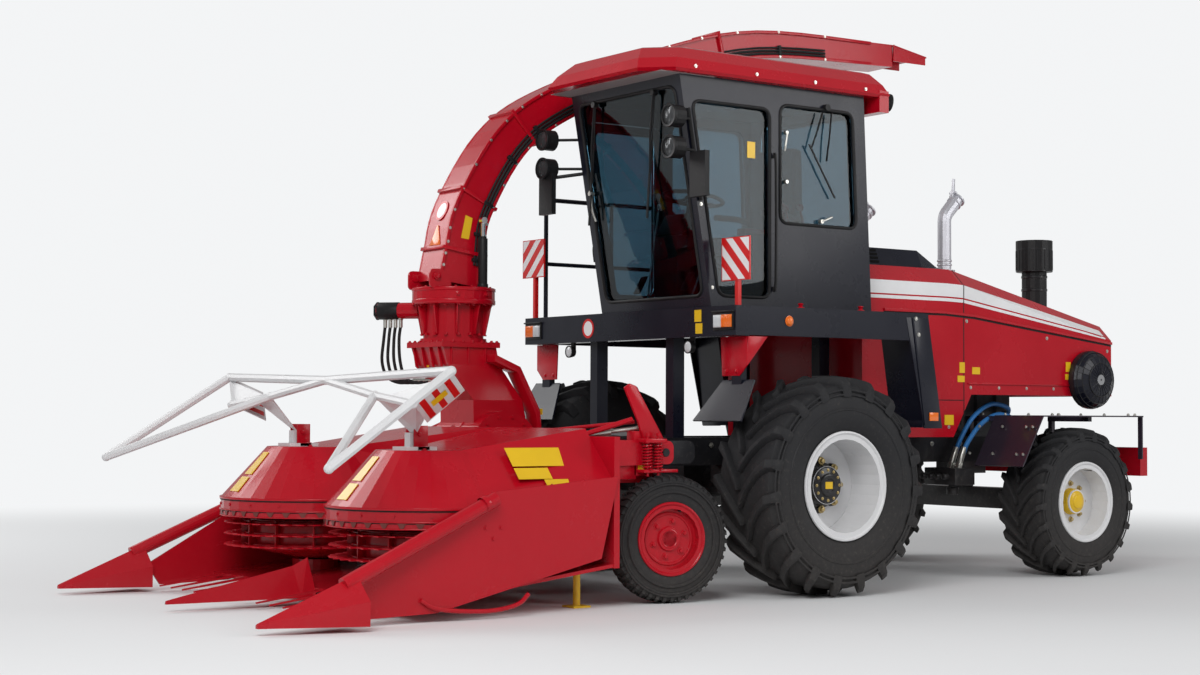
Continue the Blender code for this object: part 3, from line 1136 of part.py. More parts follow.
for side_name, side in SIDES:
    bits.append(rod((side * STAND_X, STAND_Y, sleeve_low), (side * STAND_X, STAND_Y, SLEEVE_HIGH),
                    STAND_RADIUS + PIN_CLEAR + SLEEVE_WALL))
    cuts.append(rod((side * STAND_X, STAND_Y, sleeve_low - OVERRUN),
                    (side * STAND_X, STAND_Y, SLEEVE_HIGH + OVERRUN), STAND_RADIUS + PIN_CLEAR))
# Gauge wheel legs, each with its stub axle
LEG_RADIUS = 0.030
LEG_HIGH = 0.780
for side_name, side in SIDES:
    axis = Matrix.Rotation(-HEADER_WHEEL.turn * side, 3, 'Z') @ Vector((side, 0, 0))
    centre = Vector((side * HEADER_WHEEL.track, HEADER_WHEEL.y, HEADER_WHEEL.radius))
    hub_face = centre + axis * (HEADER_WHEEL.hub_in - GAP)
    root = centre + axis * (HEADER_WHEEL.hub_in - LEG_RADIUS * 3)
    bits.append(rod(tuple(root), tuple(hub_face), LEG_RADIUS))
    bits.append(rod((root.x, root.y, root.z - LEG_RADIUS), (root.x, root.y, LEG_HIGH), LEG_RADIUS))
    bits.append(box((root.x - LEG_RADIUS, HEADER_WALL_REAR - BITE, LEG_HIGH - LEG_RADIUS * 2),
                    (root.x + LEG_RADIUS, root.y + LEG_RADIUS * 0.5, LEG_HIGH + LEG_RADIUS * 0.2)))
part("header_frame", bits, RED, cuts=cuts, origin=(0, PIVOT_Y, PIVOT_Z))

# Parking stands: a post with a foot in a sleeve of the header frame
STAND_HIGH = 0.400
FOOT_HALF = 0.060
FOOT_THICK = 0.012
for side_name, side in SIDES:
    part(f"stand_{side_name}",
         [rod((side * STAND_X, STAND_Y, FOOT_THICK / 2), (side * STAND_X, STAND_Y, STAND_HIGH), STAND_RADIUS),
          box((side * (STAND_X - FOOT_HALF), STAND_Y - FOOT_HALF, 0),
              (side * (STAND_X + FOOT_HALF), STAND_Y + FOOT_HALF, FOOT_THICK))], YELLOW,
         origin=(side * STAND_X, STAND_Y, 0))

# Drum hoods: a cone over each rotor, drawn back to the header's rear wall
HOOD_RADIUS = 0.600
HOOD_TOP_RADIUS = 0.315
HOOD_EDGE_Z = 0.605
HOOD_HIGH = 0.920
BAND_LOW = 0.490
HOOD_INNER = 0.012
HOOD_REAR_HIGH = 1.045
HOOD_REAR_EDGE = 0.740
HOOD_REAR_TOP_X = 1.000
for side_name, side in SIDES:
    cone = turned([(0, HOOD_HIGH), (HOOD_TOP_RADIUS, HOOD_HIGH), (HOOD_RADIUS, HOOD_EDGE_Z),
                   (HOOD_RADIUS, BAND_LOW), (0, BAND_LOW)], 36, origin=(side * DRUM_X, DRUM_Y, 0))
    front = [(DRUM_X + HOOD_RADIUS - BITE / 2, HOOD_EDGE_Z), (DRUM_X + HOOD_TOP_RADIUS - BITE, HOOD_HIGH - BITE / 5),
             (DRUM_X - HOOD_TOP_RADIUS + BITE, HOOD_HIGH - BITE / 5), (DRUM_X - HOOD_RADIUS + BITE * 10, HOOD_EDGE_Z),
             (DRUM_X - HOOD_RADIUS + BITE * 10, BAND_LOW + BITE), (DRUM_X + HOOD_RADIUS - BITE / 2, BAND_LOW + BITE)]
    rear = [(DRUM_X + HOOD_RADIUS - BITE / 2, HOOD_REAR_EDGE), (HOOD_REAR_TOP_X, HOOD_REAR_HIGH),
            (HOOD_INNER * 2, HOOD_REAR_HIGH), (HOOD_INNER, HOOD_REAR_EDGE),
            (HOOD_INNER, HEADER_WALL_HIGH * 0.62), (DRUM_X + HOOD_RADIUS - BITE / 2, HEADER_WALL_HIGH * 0.62)]
    hood_end = HEADER_WALL_REAR - HEADER_WALL_THICK - GAP
    body = loft([[(side * x, DRUM_Y, z) for x, z in front],
                 [(side * x, hood_end, z) for x, z in rear]])
    part(f"drum_hood_{side_name}", [body, cone], RED)

# Rotors: a drum with three saw-edged discs under each hood
ROTOR_RADIUS = 0.580
ROTOR_CORE = 0.420
ROTOR_HUB = 0.100
ROTOR_HIGH = BAND_LOW - PLAY * 2
DISC_ROWS = (0.450, 0.380, 0.310)
DISC_THICK = 0.010
for side_name, side in SIDES:
    profile = [(0, ROTOR_HIGH), (ROTOR_CORE * 0.9, ROTOR_HIGH)]
    for z in DISC_ROWS:
        profile += [(ROTOR_CORE, z + DISC_THICK), (ROTOR_RADIUS, z + DISC_THICK), (ROTOR_RADIUS, z),
                    (ROTOR_CORE, z)]
    low = DISC_ROWS[-1] - DISC_THICK * 2
    profile += [(ROTOR_CORE, low), (ROTOR_HUB, low), (ROTOR_HUB, BOSS_HIGH + GAP), (0, BOSS_HIGH + GAP)]
    part(f"rotor_{side_name}", [turned(profile, 24, origin=(side * DRUM_X, DRUM_Y, 0))], DARK_RED)

# Outer side panels with their divider noses, tubes and skids
PANEL_IN = HEADER_HALF + GAP
PANEL_THICK = 0.016
PANEL_POINTS = ((-1.640, 0.770), (-2.470, 0.700), (-3.420, 0.170), (-3.330, 0.040), (-2.860, 0.050),
                (-1.760, 0.300))
NOSE_TIP_Y = -FRONT_REACH
NOSE_REAR = -3.400
NOSE_TIP_X = 1.376
NOSE_IN = 1.240
NOSE_OUT = 1.540
NOSE_HIGH = 0.290
NOSE_LOW = 0.030
NOSE_TIP_HALF = 0.012
DIVIDER_TUBE = 0.042
for side_name, side in SIDES:
    nose = [[(side * (NOSE_TIP_X + x * NOSE_TIP_HALF), NOSE_TIP_Y, 0.050 + z * NOSE_TIP_HALF)
             for x, z in ((1, -1), (1, 0.4), (0, 1), (-1, 0.4), (-1, -1))],
            [(side * x, NOSE_REAR, z) for x, z in (
                (NOSE_OUT, NOSE_LOW), (NOSE_OUT, NOSE_HIGH * 0.55), ((NOSE_IN + NOSE_OUT) / 2, NOSE_HIGH),
                (NOSE_IN, NOSE_HIGH * 0.55), (NOSE_IN, NOSE_LOW))]]
    bits = [plate(list(PANEL_POINTS), "YZ", side * PANEL_IN, side * (PANEL_IN + PANEL_THICK)),
            loft(nose),
            rod((side * 1.395, -3.480, 0.235), (side * 1.330, -2.500, 0.660), DIVIDER_TUBE, sides=16)]
    part(f"side_divider_{side_name}", bits, RED)

# Middle divider: a long wedge between the rotors, up onto the hoods
MIDDLE_TIP_Y = -3.855
MIDDLE_BREAK_Y = -3.060
MIDDLE_HALF = 0.120
MIDDLE_HIGH = 0.230
MIDDLE_REAR_Y = FLOOR_FRONT_Y - PAN_THICK * math.sin(floor_tilt) - GAP
part("divider_middle",
     [loft([[(-NOSE_TIP_HALF, MIDDLE_TIP_Y, 0.045), (NOSE_TIP_HALF, MIDDLE_TIP_Y, 0.045),
             (0, MIDDLE_TIP_Y, 0.065)],
            [(-MIDDLE_HALF, MIDDLE_BREAK_Y, 0.050), (MIDDLE_HALF, MIDDLE_BREAK_Y, 0.050),
             (0, MIDDLE_BREAK_Y, MIDDLE_HIGH)],
            [(-MIDDLE_HALF, MIDDLE_REAR_Y, 0.060), (MIDDLE_HALF, MIDDLE_REAR_Y, 0.060),
             (0, MIDDLE_REAR_Y, MIDDLE_HIGH * 1.2)]])], RED)

# Crop guard: white tubes ahead of the hoods, on a bracket on each hood
GUARD_RADIUS = 0.027
GUARD_A = (1.380, -2.825, 1.360)
GUARD_B = (1.140, -2.920, 1.180)
GUARD_J = (0.655, -2.890, 1.230)
GUARD_M = (0.000, -2.850, 1.325)
GUARD_N = (1.485, -3.620, 0.845)
GUARD_FOOT = (0.720, -2.660)


def at(side, point):
    return (side * point[0], *point[1:])


bits = [tube([at(-1, GUARD_A), GUARD_M, at(1, GUARD_A)], GUARD_RADIUS)]
for side_name, side in SIDES:
    foot_x, foot_y = side * GUARD_FOOT[0], GUARD_FOOT[1]
    bits.append(tube([at(side, GUARD_A), at(side, GUARD_N)], GUARD_RADIUS))
    bits.append(tube([at(side, GUARD_N), at(side, GUARD_J)], GUARD_RADIUS * 0.95))
    bits.append(tube([GUARD_M, at(side, GUARD_J), at(side, GUARD_B)], GUARD_RADIUS * 0.9))
    bits.append(sheet([at(side, GUARD_A), at(side, GUARD_B), at(side, GUARD_J),
                       (foot_x, foot_y, HOOD_HIGH + 0.080)], 0.010))
    bits.append(box((foot_x - 0.080, foot_y - 0.100, HOOD_HIGH + GAP), (foot_x + 0.080, foot_y + 0.100, HOOD_HIGH + 0.020)))
    bits.append(box((foot_x - 0.030, foot_y - 0.050, HOOD_HIGH + 0.010), (foot_x + 0.030, foot_y + 0.050, HOOD_HIGH + 0.100)))
part("crop_guard", bits, WHITE)
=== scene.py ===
import math

import bmesh
import bpy
from mathutils import Matrix, Vector


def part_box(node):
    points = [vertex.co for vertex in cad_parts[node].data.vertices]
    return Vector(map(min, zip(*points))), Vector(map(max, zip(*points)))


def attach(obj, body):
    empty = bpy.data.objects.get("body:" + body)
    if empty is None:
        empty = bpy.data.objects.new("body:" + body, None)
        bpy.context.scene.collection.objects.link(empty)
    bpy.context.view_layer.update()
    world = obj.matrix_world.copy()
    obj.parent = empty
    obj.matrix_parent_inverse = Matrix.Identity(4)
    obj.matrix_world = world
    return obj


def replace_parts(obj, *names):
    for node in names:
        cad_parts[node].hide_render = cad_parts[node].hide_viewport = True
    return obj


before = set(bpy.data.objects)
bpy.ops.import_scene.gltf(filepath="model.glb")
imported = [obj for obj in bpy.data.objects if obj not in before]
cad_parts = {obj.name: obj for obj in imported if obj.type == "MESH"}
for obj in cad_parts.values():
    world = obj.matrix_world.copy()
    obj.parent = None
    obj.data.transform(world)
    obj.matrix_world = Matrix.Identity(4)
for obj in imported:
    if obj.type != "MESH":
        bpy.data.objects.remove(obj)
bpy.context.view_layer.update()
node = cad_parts

# Camera
# The machine is seen from its front left corner, about a metre above the ground.
# The lens and the place are the photograph's, worked out from the wheels and the cab.
AXLE = 0.247                                  # Y of the drive axle in this frame
CAMERA_PLACE = Vector((10.503, -8.443 + AXLE, 1.131))
CAMERA_HEADING, CAMERA_PITCH, CAMERA_ROLL = (math.radians(a) for a in (54.07, 2.22, 0.25))


def put(name, data):
    """A new object in the scene."""
    item = bpy.data.objects.new(name, data)
    bpy.context.scene.collection.objects.link(item)
    return item


camera = put("camera", bpy.data.cameras.new("camera"))
camera.data.lens = 59.2
camera.data.sensor_width = 36
camera.data.clip_end = 200
look = Vector((-math.sin(CAMERA_HEADING) * math.cos(CAMERA_PITCH),
               math.cos(CAMERA_HEADING) * math.cos(CAMERA_PITCH), math.sin(CAMERA_PITCH)))
camera.matrix_world = (Matrix.Translation(CAMERA_PLACE) @ look.to_track_quat('-Z', 'Y').to_matrix().to_4x4()
                       @ Matrix.Rotation(CAMERA_ROLL, 4, 'Z'))
bpy.context.scene.camera = camera

# Turret hoses
# Four rubber hoses hang from the turning motor beside the spout down to the header's manifold.
# Each is a woven black hydraulic hose, crimped into a plated steel end at both ends.
HOSE = 0.011
SHARP = math.radians(34)                      # edges that bend more than this stay crisp
UP = Vector((0, 0, 1))
DUST_TONE = (0.22, 0.19, 0.16, 1)
ENAMEL_GLOSS = 0.2                            # low, because the lamps are broad and near
work = bmesh.new()                            # every piece is made in this mesh, and fit() takes it out


def wire(item, inputs):
    """Set a node's inputs: a socket is linked, anything else is a value."""
    for key, value in inputs.items():
        if isinstance(value, bpy.types.NodeSocket):
            item.id_data.links.new(value, item.inputs[key])
        else:
            item.inputs[key].default_value = value


def node_adder(tree):
    def add(kind, inputs=None, **settings):
        item = tree.nodes.new(kind)
        for key, value in settings.items():
            setattr(item, key, value)
        wire(item, inputs or {})
        return item
    return add


def new_material(name):
    finish = bpy.data.materials.new(name)
    finish.use_nodes = True
    return finish, finish.node_tree.nodes["Principled BSDF"], node_adder(finish.node_tree)


def paint(name, colour, roughness=0.25, scale=1.0, dust=0.1, coat=0.3, peel=0.05, mud=0.25, metal=0.0):
    """Enamel, rubber or bare metal: cloudy tone, fine grain, dust, and dirt thrown up from the ground."""
    finish, shader, add = new_material(name)
    place = add("ShaderNodeTexCoord").outputs["Object"]
    cloud = add("ShaderNodeTexNoise", {"Vector": place, "Scale": 1.7 * scale, "Detail": 6.0,
                                       "Roughness": 0.62}).outputs["Fac"]
    grit = add("ShaderNodeTexNoise", {"Vector": place, "Scale": 38.0 * scale, "Detail": 8.0,
                                      "Roughness": 0.7}).outputs["Fac"]
    tone = add("ShaderNodeMix", {"Factor": cloud, 6: (*(c * 0.84 for c in colour), 1),
                                 7: (*(min(c * 1.12 + 0.002, 1) for c in colour), 1)}, data_type='RGBA')
    specks = add("ShaderNodeMapRange", {"Value": grit, "From Min": 0.56, "From Max": 0.82, "To Max": dust})
    high = add("ShaderNodeSeparateXYZ", {"Vector": place}).outputs["Z"]
    splash = add("ShaderNodeMapRange", {"Value": high, "From Min": 0.9, "From Max": 0.0, "To Max": mud})
    patch = add("ShaderNodeMath", {0: splash.outputs["Result"], 1: grit}, operation='MULTIPLY')
    both = add("ShaderNodeMath", {0: specks.outputs["Result"], 1: patch.outputs["Value"]}, operation='ADD')
    dusty = add("ShaderNodeMix", {"Factor": both.outputs["Value"], 6: tone.outputs[2],
                                  7: DUST_TONE}, data_type='RGBA')
    rough = add("ShaderNodeMapRange", {"Value": cloud, "From Min": 0.3, "From Max": 0.7,
                                       "To Min": roughness * 0.8, "To Max": roughness * 1.3})
    wave = add("ShaderNodeTexNoise", {"Vector": place, "Scale": 140.0 * scale, "Detail": 2.0})
    bump = add("ShaderNodeBump", {"Height": wave.outputs["Fac"], "Strength": peel, "Distance": 0.002})
    wire(shader, {"Base Color": dusty.outputs[2], "Roughness": rough.outputs["Result"],
                  "Normal": bump.outputs["Normal"], "Metallic": metal, "Specular IOR Level": ENAMEL_GLOSS,
                  "Coat Weight": coat, "Coat Roughness": 0.12})
    return finish


smooth_rule = bpy.data.node_groups.new("smooth_round_faces", 'GeometryNodeTree')
for socket_way in ('INPUT', 'OUTPUT'):
    smooth_rule.interface.new_socket("Geometry", in_out=socket_way, socket_type='NodeSocketGeometry')
add = node_adder(smooth_rule)
all_smooth = add("GeometryNodeSetShadeSmooth", {"Geometry": add("NodeGroupInput").outputs[0]})
bend = add("GeometryNodeInputMeshEdgeAngle").outputs["Unsigned Angle"]
is_sharp = add("FunctionNodeCompare", {0: bend, 1: SHARP}, data_type='FLOAT', operation='GREATER_THAN')
keep_sharp = add("GeometryNodeSetShadeSmooth", {"Geometry": all_smooth.outputs[0], "Shade Smooth": False,
                                                "Selection": is_sharp.outputs["Result"]}, domain='EDGE')
add("NodeGroupOutput", {0: keep_sharp.outputs[0]})


def soften(item, edge_width=0.0):
    """A rolled edge, and round faces shaded smooth."""
    if edge_width:
        edge = item.modifiers.new("edge", 'BEVEL')
        edge.width = edge_width
        edge.segments = 2
        edge.limit_method = 'ANGLE'
        edge.angle_limit = SHARP
    item.modifiers.new("smooth", 'NODES').node_group = smooth_rule


def fit(name, finish, body="chassis", edge_width=0.0):
    """The piece just made: its mesh, finish and edges, and the body that carries it."""
    mesh = bpy.data.meshes.new(name)
    bmesh.ops.recalc_face_normals(work, faces=work.faces)
    work.to_mesh(mesh)
    work.clear()
    item = put(name, mesh)
    mesh.materials.append(finish)
    soften(item, edge_width)
    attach(item, body)
    return item


def rod(start, end, radius, end_radius=None, sides=16):
    start, end = Vector(start), Vector(end)
    way = end - start
    bmesh.ops.create_cone(work, cap_ends=True, segments=sides, radius1=radius,
                          radius2=radius if end_radius is None else end_radius, depth=way.length,
                          matrix=Matrix.Translation((start + end) / 2)
                          @ way.to_track_quat('Z', 'Y').to_matrix().to_4x4())


def circle(count):
    """Angles evenly round a circle."""
    return [2 * math.pi * k / count for k in range(count)]


def polar(radius, angle, z=0.0):
    return Vector((radius * math.cos(angle), radius * math.sin(angle), z))


def smooth_route(points, steps=6):
    """Points on a smooth curve through the ones given."""
    points = [Vector(p) for p in points]
    padded = [points[0] * 2 - points[1], *points, points[-1] * 2 - points[-2]]
    route = []
    for before, start, end, after in zip(padded, padded[1:], padded[2:], padded[3:]):
        for t in (step / steps for step in range(steps)):
            route.append((start * 2 + (end - before) * t + (before * 2 - start * 5 + end * 4 - after) * t ** 2
                          + (start * 3 - before - end * 3 + after) * t ** 3) / 2)
    return [*route, points[-1]]


def pipe(route, radius, sides=12, closed=False):
    """A round bar or hose along a route, without twist."""
    route = [Vector(p) for p in route]
    count = len(route)
    across = None
    rings = []
    for index, spot in enumerate(route):
        ahead = route[(index + 1) % count] if closed or index + 1 < count else spot
        back = route[index - 1] if closed or index else spot
        way = (ahead - back).normalized()
        if across is None:
            across = way.orthogonal().normalized()
        across = (across - way * across.dot(way)).normalized()
        up = way.cross(across)
        rings.append([work.verts.new(spot + (across * math.cos(a) + up * math.sin(a)) * radius)
                      for a in circle(sides)])
    for a, b in zip(rings, rings[1:] + (rings[:1] if closed else [])):
        for k in range(sides):
            work.faces.new((a[k], a[k - 1], b[k - 1], b[k]))
    if not closed:
        work.faces.new(rings[0])
        work.faces.new(rings[-1][::-1])


def hose_cord(name, points, steps, radius, sides, finish):
    """A hose along a smooth route through the points given."""
    route = smooth_route(points, steps)
    pipe(route, radius, sides)
    fit(name, finish)


hose_rubber = paint("woven_hose_rubber", (0.018, 0.018, 0.019), 0.6, scale=3, dust=0.2,
                    coat=0.0, peel=0.5, mud=0.0)
plated = paint("plated_steel", (0.55, 0.54, 0.5), 0.28, dust=0.25, coat=0.0, mud=0.1,
               metal=0.9)
HOSE_TOPS = [(-1.09 + 0.034 * index, -1.58 + 0.02 * index) for index in range(4)]
for index, (x, y) in enumerate(HOSE_TOPS):
    points = [(x, y, 1.72), (x - 0.01, y - 0.006, 1.62), (x - 0.03 + 0.012 * index, y - 0.006, 1.48),
              (x - 0.02 + 0.01 * index, y + 0.03, 1.375), (x + 0.05, y + 0.09, 1.335),
              (x + 0.14, y + 0.15, 1.35)]
    hose_cord(f"turret_hose_{index + 1}", points, 5, HOSE, 10, hose_rubber)
for x, y in HOSE_TOPS:
    rod((x, y, 1.705), (x, y, 1.8), HOSE * 1.25)
    rod((x, y, 1.755), (x, y, 1.77), HOSE * 1.7, sides=6)
    rod((x + 0.13, y + 0.145, 1.349), (x + 0.2, y + 0.19, 1.352), HOSE * 1.25)
fit("turret_hose_ends", plated)

# Studio
# A pale seamless floor, a pale sky and three broad soft lamps. The floor takes the machine's
# shadow near it, and fades into the backdrop's own light further out.
BACKDROP_TONE = (0.9, 0.91, 0.92, 1)
floor = put("floor", bpy.data.meshes.new("floor"))
bmesh.ops.create_grid(work, x_segments=1, y_segments=1, size=80)
work.to_mesh(floor.data)
work.clear()
finish, shader, add = new_material("studio_floor")
wire(shader, {"Base Color": (0.8, 0.81, 0.82, 1), "Roughness": 0.9})
far_off = add("ShaderNodeVectorMath", {0: add("ShaderNodeTexCoord").outputs["Object"]}, operation='LENGTH')
fade = add("ShaderNodeMapRange", {"Value": far_off.outputs["Value"], "From Min": 5.0, "From Max": 13.0},
           interpolation_type='SMOOTHSTEP')
rays = add("ShaderNodeLightPath").outputs
shown = add("ShaderNodeMath", {0: rays["Is Camera Ray"], 1: rays["Is Glossy Ray"]}, operation='MAXIMUM')
shown = add("ShaderNodeMath", {0: shown.outputs[0], 1: rays["Is Transmission Ray"]}, operation='MAXIMUM')
shown = add("ShaderNodeMath", {0: shown.outputs[0], 1: fade.outputs["Result"]}, operation='MULTIPLY')
pale = add("ShaderNodeEmission", {"Color": BACKDROP_TONE, "Strength": 1.0})
join = add("ShaderNodeMixShader", {0: shown.outputs[0], 1: shader.outputs[0], 2: pale.outputs[0]})
wire(finish.node_tree.nodes["Material Output"], {"Surface": join.outputs[0]})
floor.data.materials.append(finish)

world = bpy.data.worlds.new("studio")
bpy.context.scene.world = world
world.use_nodes = True
add = node_adder(world.node_tree)
sky = world.node_tree.nodes["Background"]
wire(sky, {"Color": (1, 1, 1, 1), "Strength": 0.34})
backdrop = add("ShaderNodeBackground", {"Color": BACKDROP_TONE})
rays = add("ShaderNodeLightPath").outputs
either = add("ShaderNodeMath", {0: rays["Is Camera Ray"], 1: rays["Is Transmission Ray"]},
             operation='MAXIMUM')
seen = add("ShaderNodeMixShader", {0: either.outputs[0], 1: sky.outputs[0], 2: backdrop.outputs[0]})
wire(world.node_tree.nodes["World Output"], {"Surface": seen.outputs[0]})
for name, spot, size, power in (("key", (7.5, -8.0, 7.5), 6.5, 740), ("side", (8.5, 6.0, 5.0), 5.0, 260),
                                ("far", (-8.0, -5.0, 6.5), 6.0, 380)):
    lamp = put(name, bpy.data.lights.new(name, 'AREA'))
    lamp.data.shape = 'DISK'
    lamp.data.size = size
    lamp.data.energy = power
    lamp.location = spot
    lamp.rotation_euler = (Vector((0, 0, 1.4)) - Vector(spot)).to_track_quat('-Z', 'Y').to_euler()
bpy.context.scene.view_settings.view_transform = 'Standard'

# Chassis, axle and engine
# The frame is two box beams and crossmembers welded from plate, in a satin near-black enamel, with
# a ribbed cast engine block on it. Dust and dried soil lie on them, most of all near the ground.
SIDES = (("left", 1), ("right", -1))


def dress(finish, edge_width, *names):
    """CAD nodes that stay, in their finish and with a rolled edge."""
    for name in names:
        node[name].data.materials.clear()
        node[name].data.materials.append(finish)
        soften(node[name], edge_width)


def block(low, high):
    low, high = Vector(low), Vector(high)
    bmesh.ops.create_cube(work, size=1, matrix=Matrix.Translation((low + high) / 2)
                          @ Matrix.Diagonal((*(abs(s) for s in high - low), 1)))


def bolts(centre, way, circle_radius, count, size, height, start=0.0):
    """Hexagon heads on washers, evenly round a circle."""
    aim = Vector(way).to_track_quat('Z', 'Y')
    way = Vector(way).normalized()
    for angle in circle(count):
        spot = Vector(centre) + aim @ polar(circle_radius, start + angle)
        rod(spot - way * 0.004, spot + way * height * 0.3, size * 1.45, sides=14)
        rod(spot, spot + way * height, size, size * 0.9, sides=6)


def stud(spot, way, size, height):
    bolts(spot, way, 0, 1, size, height)


chassis_black = paint("chassis_enamel", (0.011, 0.011, 0.014), 0.42, dust=0.22, mud=0.5)
casting = paint("engine_casting", (0.055, 0.056, 0.06), 0.55, dust=0.3, coat=0.0, peel=0.5)
dress(chassis_black, 0.003, "chassis_frame", "rear_axle", "knuckle_left", "knuckle_right")
dress(casting, 0.012, "engine_block")
for y in (1.72 + 0.2 * index for index in range(6)):
    for side in (1, -1):
        block((side * 0.385, y, 1.02), (side * 0.425, y + 0.06, 1.66))
        for z in (1.6, 1.08):
            stud((side * 0.425, y + 0.03, z), (side, 0, 0), 0.013, 0.012)
fit("engine_ribs", casting, edge_width=0.006)
for side in (1, -1):
    for index in range(14):
        stud((side * 0.466, -0.6 + 0.29 * index, 0.93), (side, 0, 0), 0.012, 0.012)
    stud((side * 0.6, 2.716, 0.54), (0, -1, 0), 0.016, 0.014)
fit("chassis_bolts", plated)

# Rear bumper, tail lamps and tow pin
# The tail of the chassis ends in a folded bracket that carries the red bumper bar, cut from plate.
# Two moulded red lenses are screwed to the bar, and the tow pin is turned steel.
crimson = paint("crimson_enamel", (0.46, 0.0015, 0.012), 0.24, dust=0.03, coat=0.2, mud=0.06)
dress(crimson, 0.008, "rear_bumper")


def plate(corners, thick):
    """A flat sheet: its outline in space, pushed out by a thickness."""
    low = [work.verts.new(c) for c in corners]
    high = [work.verts.new(Vector(c) + Vector(thick)) for c in corners]
    work.faces.new(low[::-1])
    work.faces.new(high)
    for a in range(len(low)):
        b = (a + 1) % len(low)
        work.faces.new((low[a], low[b], high[b], high[a]))


def side_plate(x, outline, thick):
    """A sheet that faces sideways, with its outline in Y and Z."""
    plate([(x, y, z) for y, z in outline], (thick, 0, 0))


def front_plate(y, outline, thick):
    """A sheet that faces forward, with its outline in X and Z."""
    plate([(x, y, z) for x, z in outline], (0, thick, 0))


def lens(name, colour, roughness, mud=0.0):
    return paint(name, colour, roughness, dust=0.03, coat=0.8, peel=0.0, mud=mud)


lens_red = lens("red_lens", (0.5, 0.006, 0.006), 0.12, mud=0.05)
lens_orange = lens("orange_lens", (0.85, 0.17, 0.01), 0.12)
lens_white = lens("clear_lens", (0.62, 0.64, 0.66), 0.08)
lamp_black = paint("moulded_black", (0.012, 0.012, 0.013), 0.4, coat=0.0, peel=0.3, mud=0.1)
for side in (1, -1):
    block((side * 0.7, 3.712, 0.735), (side * 0.93, 3.7165, 0.865))
fit("tail_lamps", lens_red, edge_width=0.002)
rod((0, 3.6, 0.68), (0, 3.6, 0.93), 0.022)
rod((0, 3.6, 0.925), (0, 3.6, 0.945), 0.034)
for x in (0.25, 0.55, -0.25, -0.55):
    stud((x, 3.6, 0.9), UP, 0.014, 0.012)
fit("tow_pin", plated, edge_width=0.002)

# Front and rear wheels
# Deep-lugged farm tyres of black rubber sit on white pressed-steel rims, bolted to black planetary
# hubs in front and to yellow-capped hubs behind. The header's own tyres run on red rims.
rubber = paint("tyre_rubber", (0.02, 0.02, 0.022), 0.62, dust=0.18, coat=0.0, peel=0.35,
               mud=0.22)
white = paint("white_enamel", (0.7, 0.7, 0.71), 0.3, dust=0.05, coat=0.1, mud=0.06)
yellow = paint("yellow_enamel", (0.8, 0.5, 0.012), 0.32, dust=0.08, mud=0.15)
brass = paint("brassed_steel", (0.5, 0.38, 0.17), 0.35, dust=0.2, coat=0.0, metal=0.8)
hub_black = paint("hub_enamel", (0.012, 0.012, 0.014))


def turned(profile, centre, way, sides=36):
    """A form turned about an axis. The profile gives radius and how far along, from end to end."""
    aim = Vector(way).to_track_quat('Z', 'Y')
    rings = [[work.verts.new(Vector(centre) + aim @ polar(radius, a, along))
              for a in (circle(sides) if radius else [0])] for radius, along in profile]
    for a, b in zip(rings, rings[1:]):
        for k in range(sides):
            corners = [a[k % len(a)], a[k - 1] if len(a) > 1 else None, b[k - 1] if len(b) > 1 else None,
                       b[k % len(b)]]
            work.faces.new([c for c in corners if c])


def band(inner, outer, middle, half, flat):
    """A profile for turned(): a ring with bevelled edges."""
    return [(inner, middle - half), (outer, middle - flat), (outer, middle + flat), (inner, middle + half)]


def loft(rings):
    """A solid through rings of points, closed at both ends."""
    rings = [[work.verts.new(p) for p in ring] for ring in rings]
    work.faces.new(rings[0])
    for a, b in zip(rings, rings[1:]):
        for k in range(len(a)):
            work.faces.new((a[k], b[k], b[k - 1], a[k - 1]))
    work.faces.new(rings[-1][::-1])


def tread_tyre(centre, way, radius, rim, half, lugs, high, root, top, slant):
    """A tyre: a rounded casing from bead to bead, and two rows of curved lugs that wrap its shoulders."""
    crown = radius - high
    wall = crown - rim
    outline = [(rim - 0.008, half * 0.8), (rim + wall * 0.1, half * 0.93), (rim + wall * 0.35, half * 0.985),
               (rim + wall * 0.62, half * 0.975), (rim + wall * 0.82, half * 0.925),
               (rim + wall * 0.93, half * 0.85), (crown - wall * 0.02, half * 0.7), (crown, half * 0.35)]
    turned(outline + [(r, -x) for r, x in reversed(outline)], centre, way, 72)
    aim = way.to_track_quat('Z', 'Y')
    lead = 1 if way[0] > 0 else -1
    # Out from the middle, share of the slant, radius at the lug's root and top, and its thickness
    rows = ((0.02, 0.0, crown - 0.012, radius, 0.8), (0.3, 0.42, crown - 0.012, radius, 0.9),
            (0.6, 0.76, crown - 0.014, radius - 0.003, 1.0),
            (0.86, 0.96, crown - wall * 0.1, radius - 0.012, 1.12),
            (0.985, 1.0, crown - wall * 0.22, crown - wall * 0.02, 1.1),
            (0.995, 1.0, crown - wall * 0.3, crown - wall * 0.22, 0.95))
    for row, offset in ((1, 0), (-1, math.pi / lugs)):
        for start in circle(lugs):
            rings = []
            for out, share, low, tip, thick in rows:
                angle = start + offset - lead * slant * share
                rings.append([centre + aim @ polar(r, angle + t * thick / r, row * out * half)
                              for r, t in ((low, -root), (low, root), (tip, top), (tip, -top))])
            loft(rings)


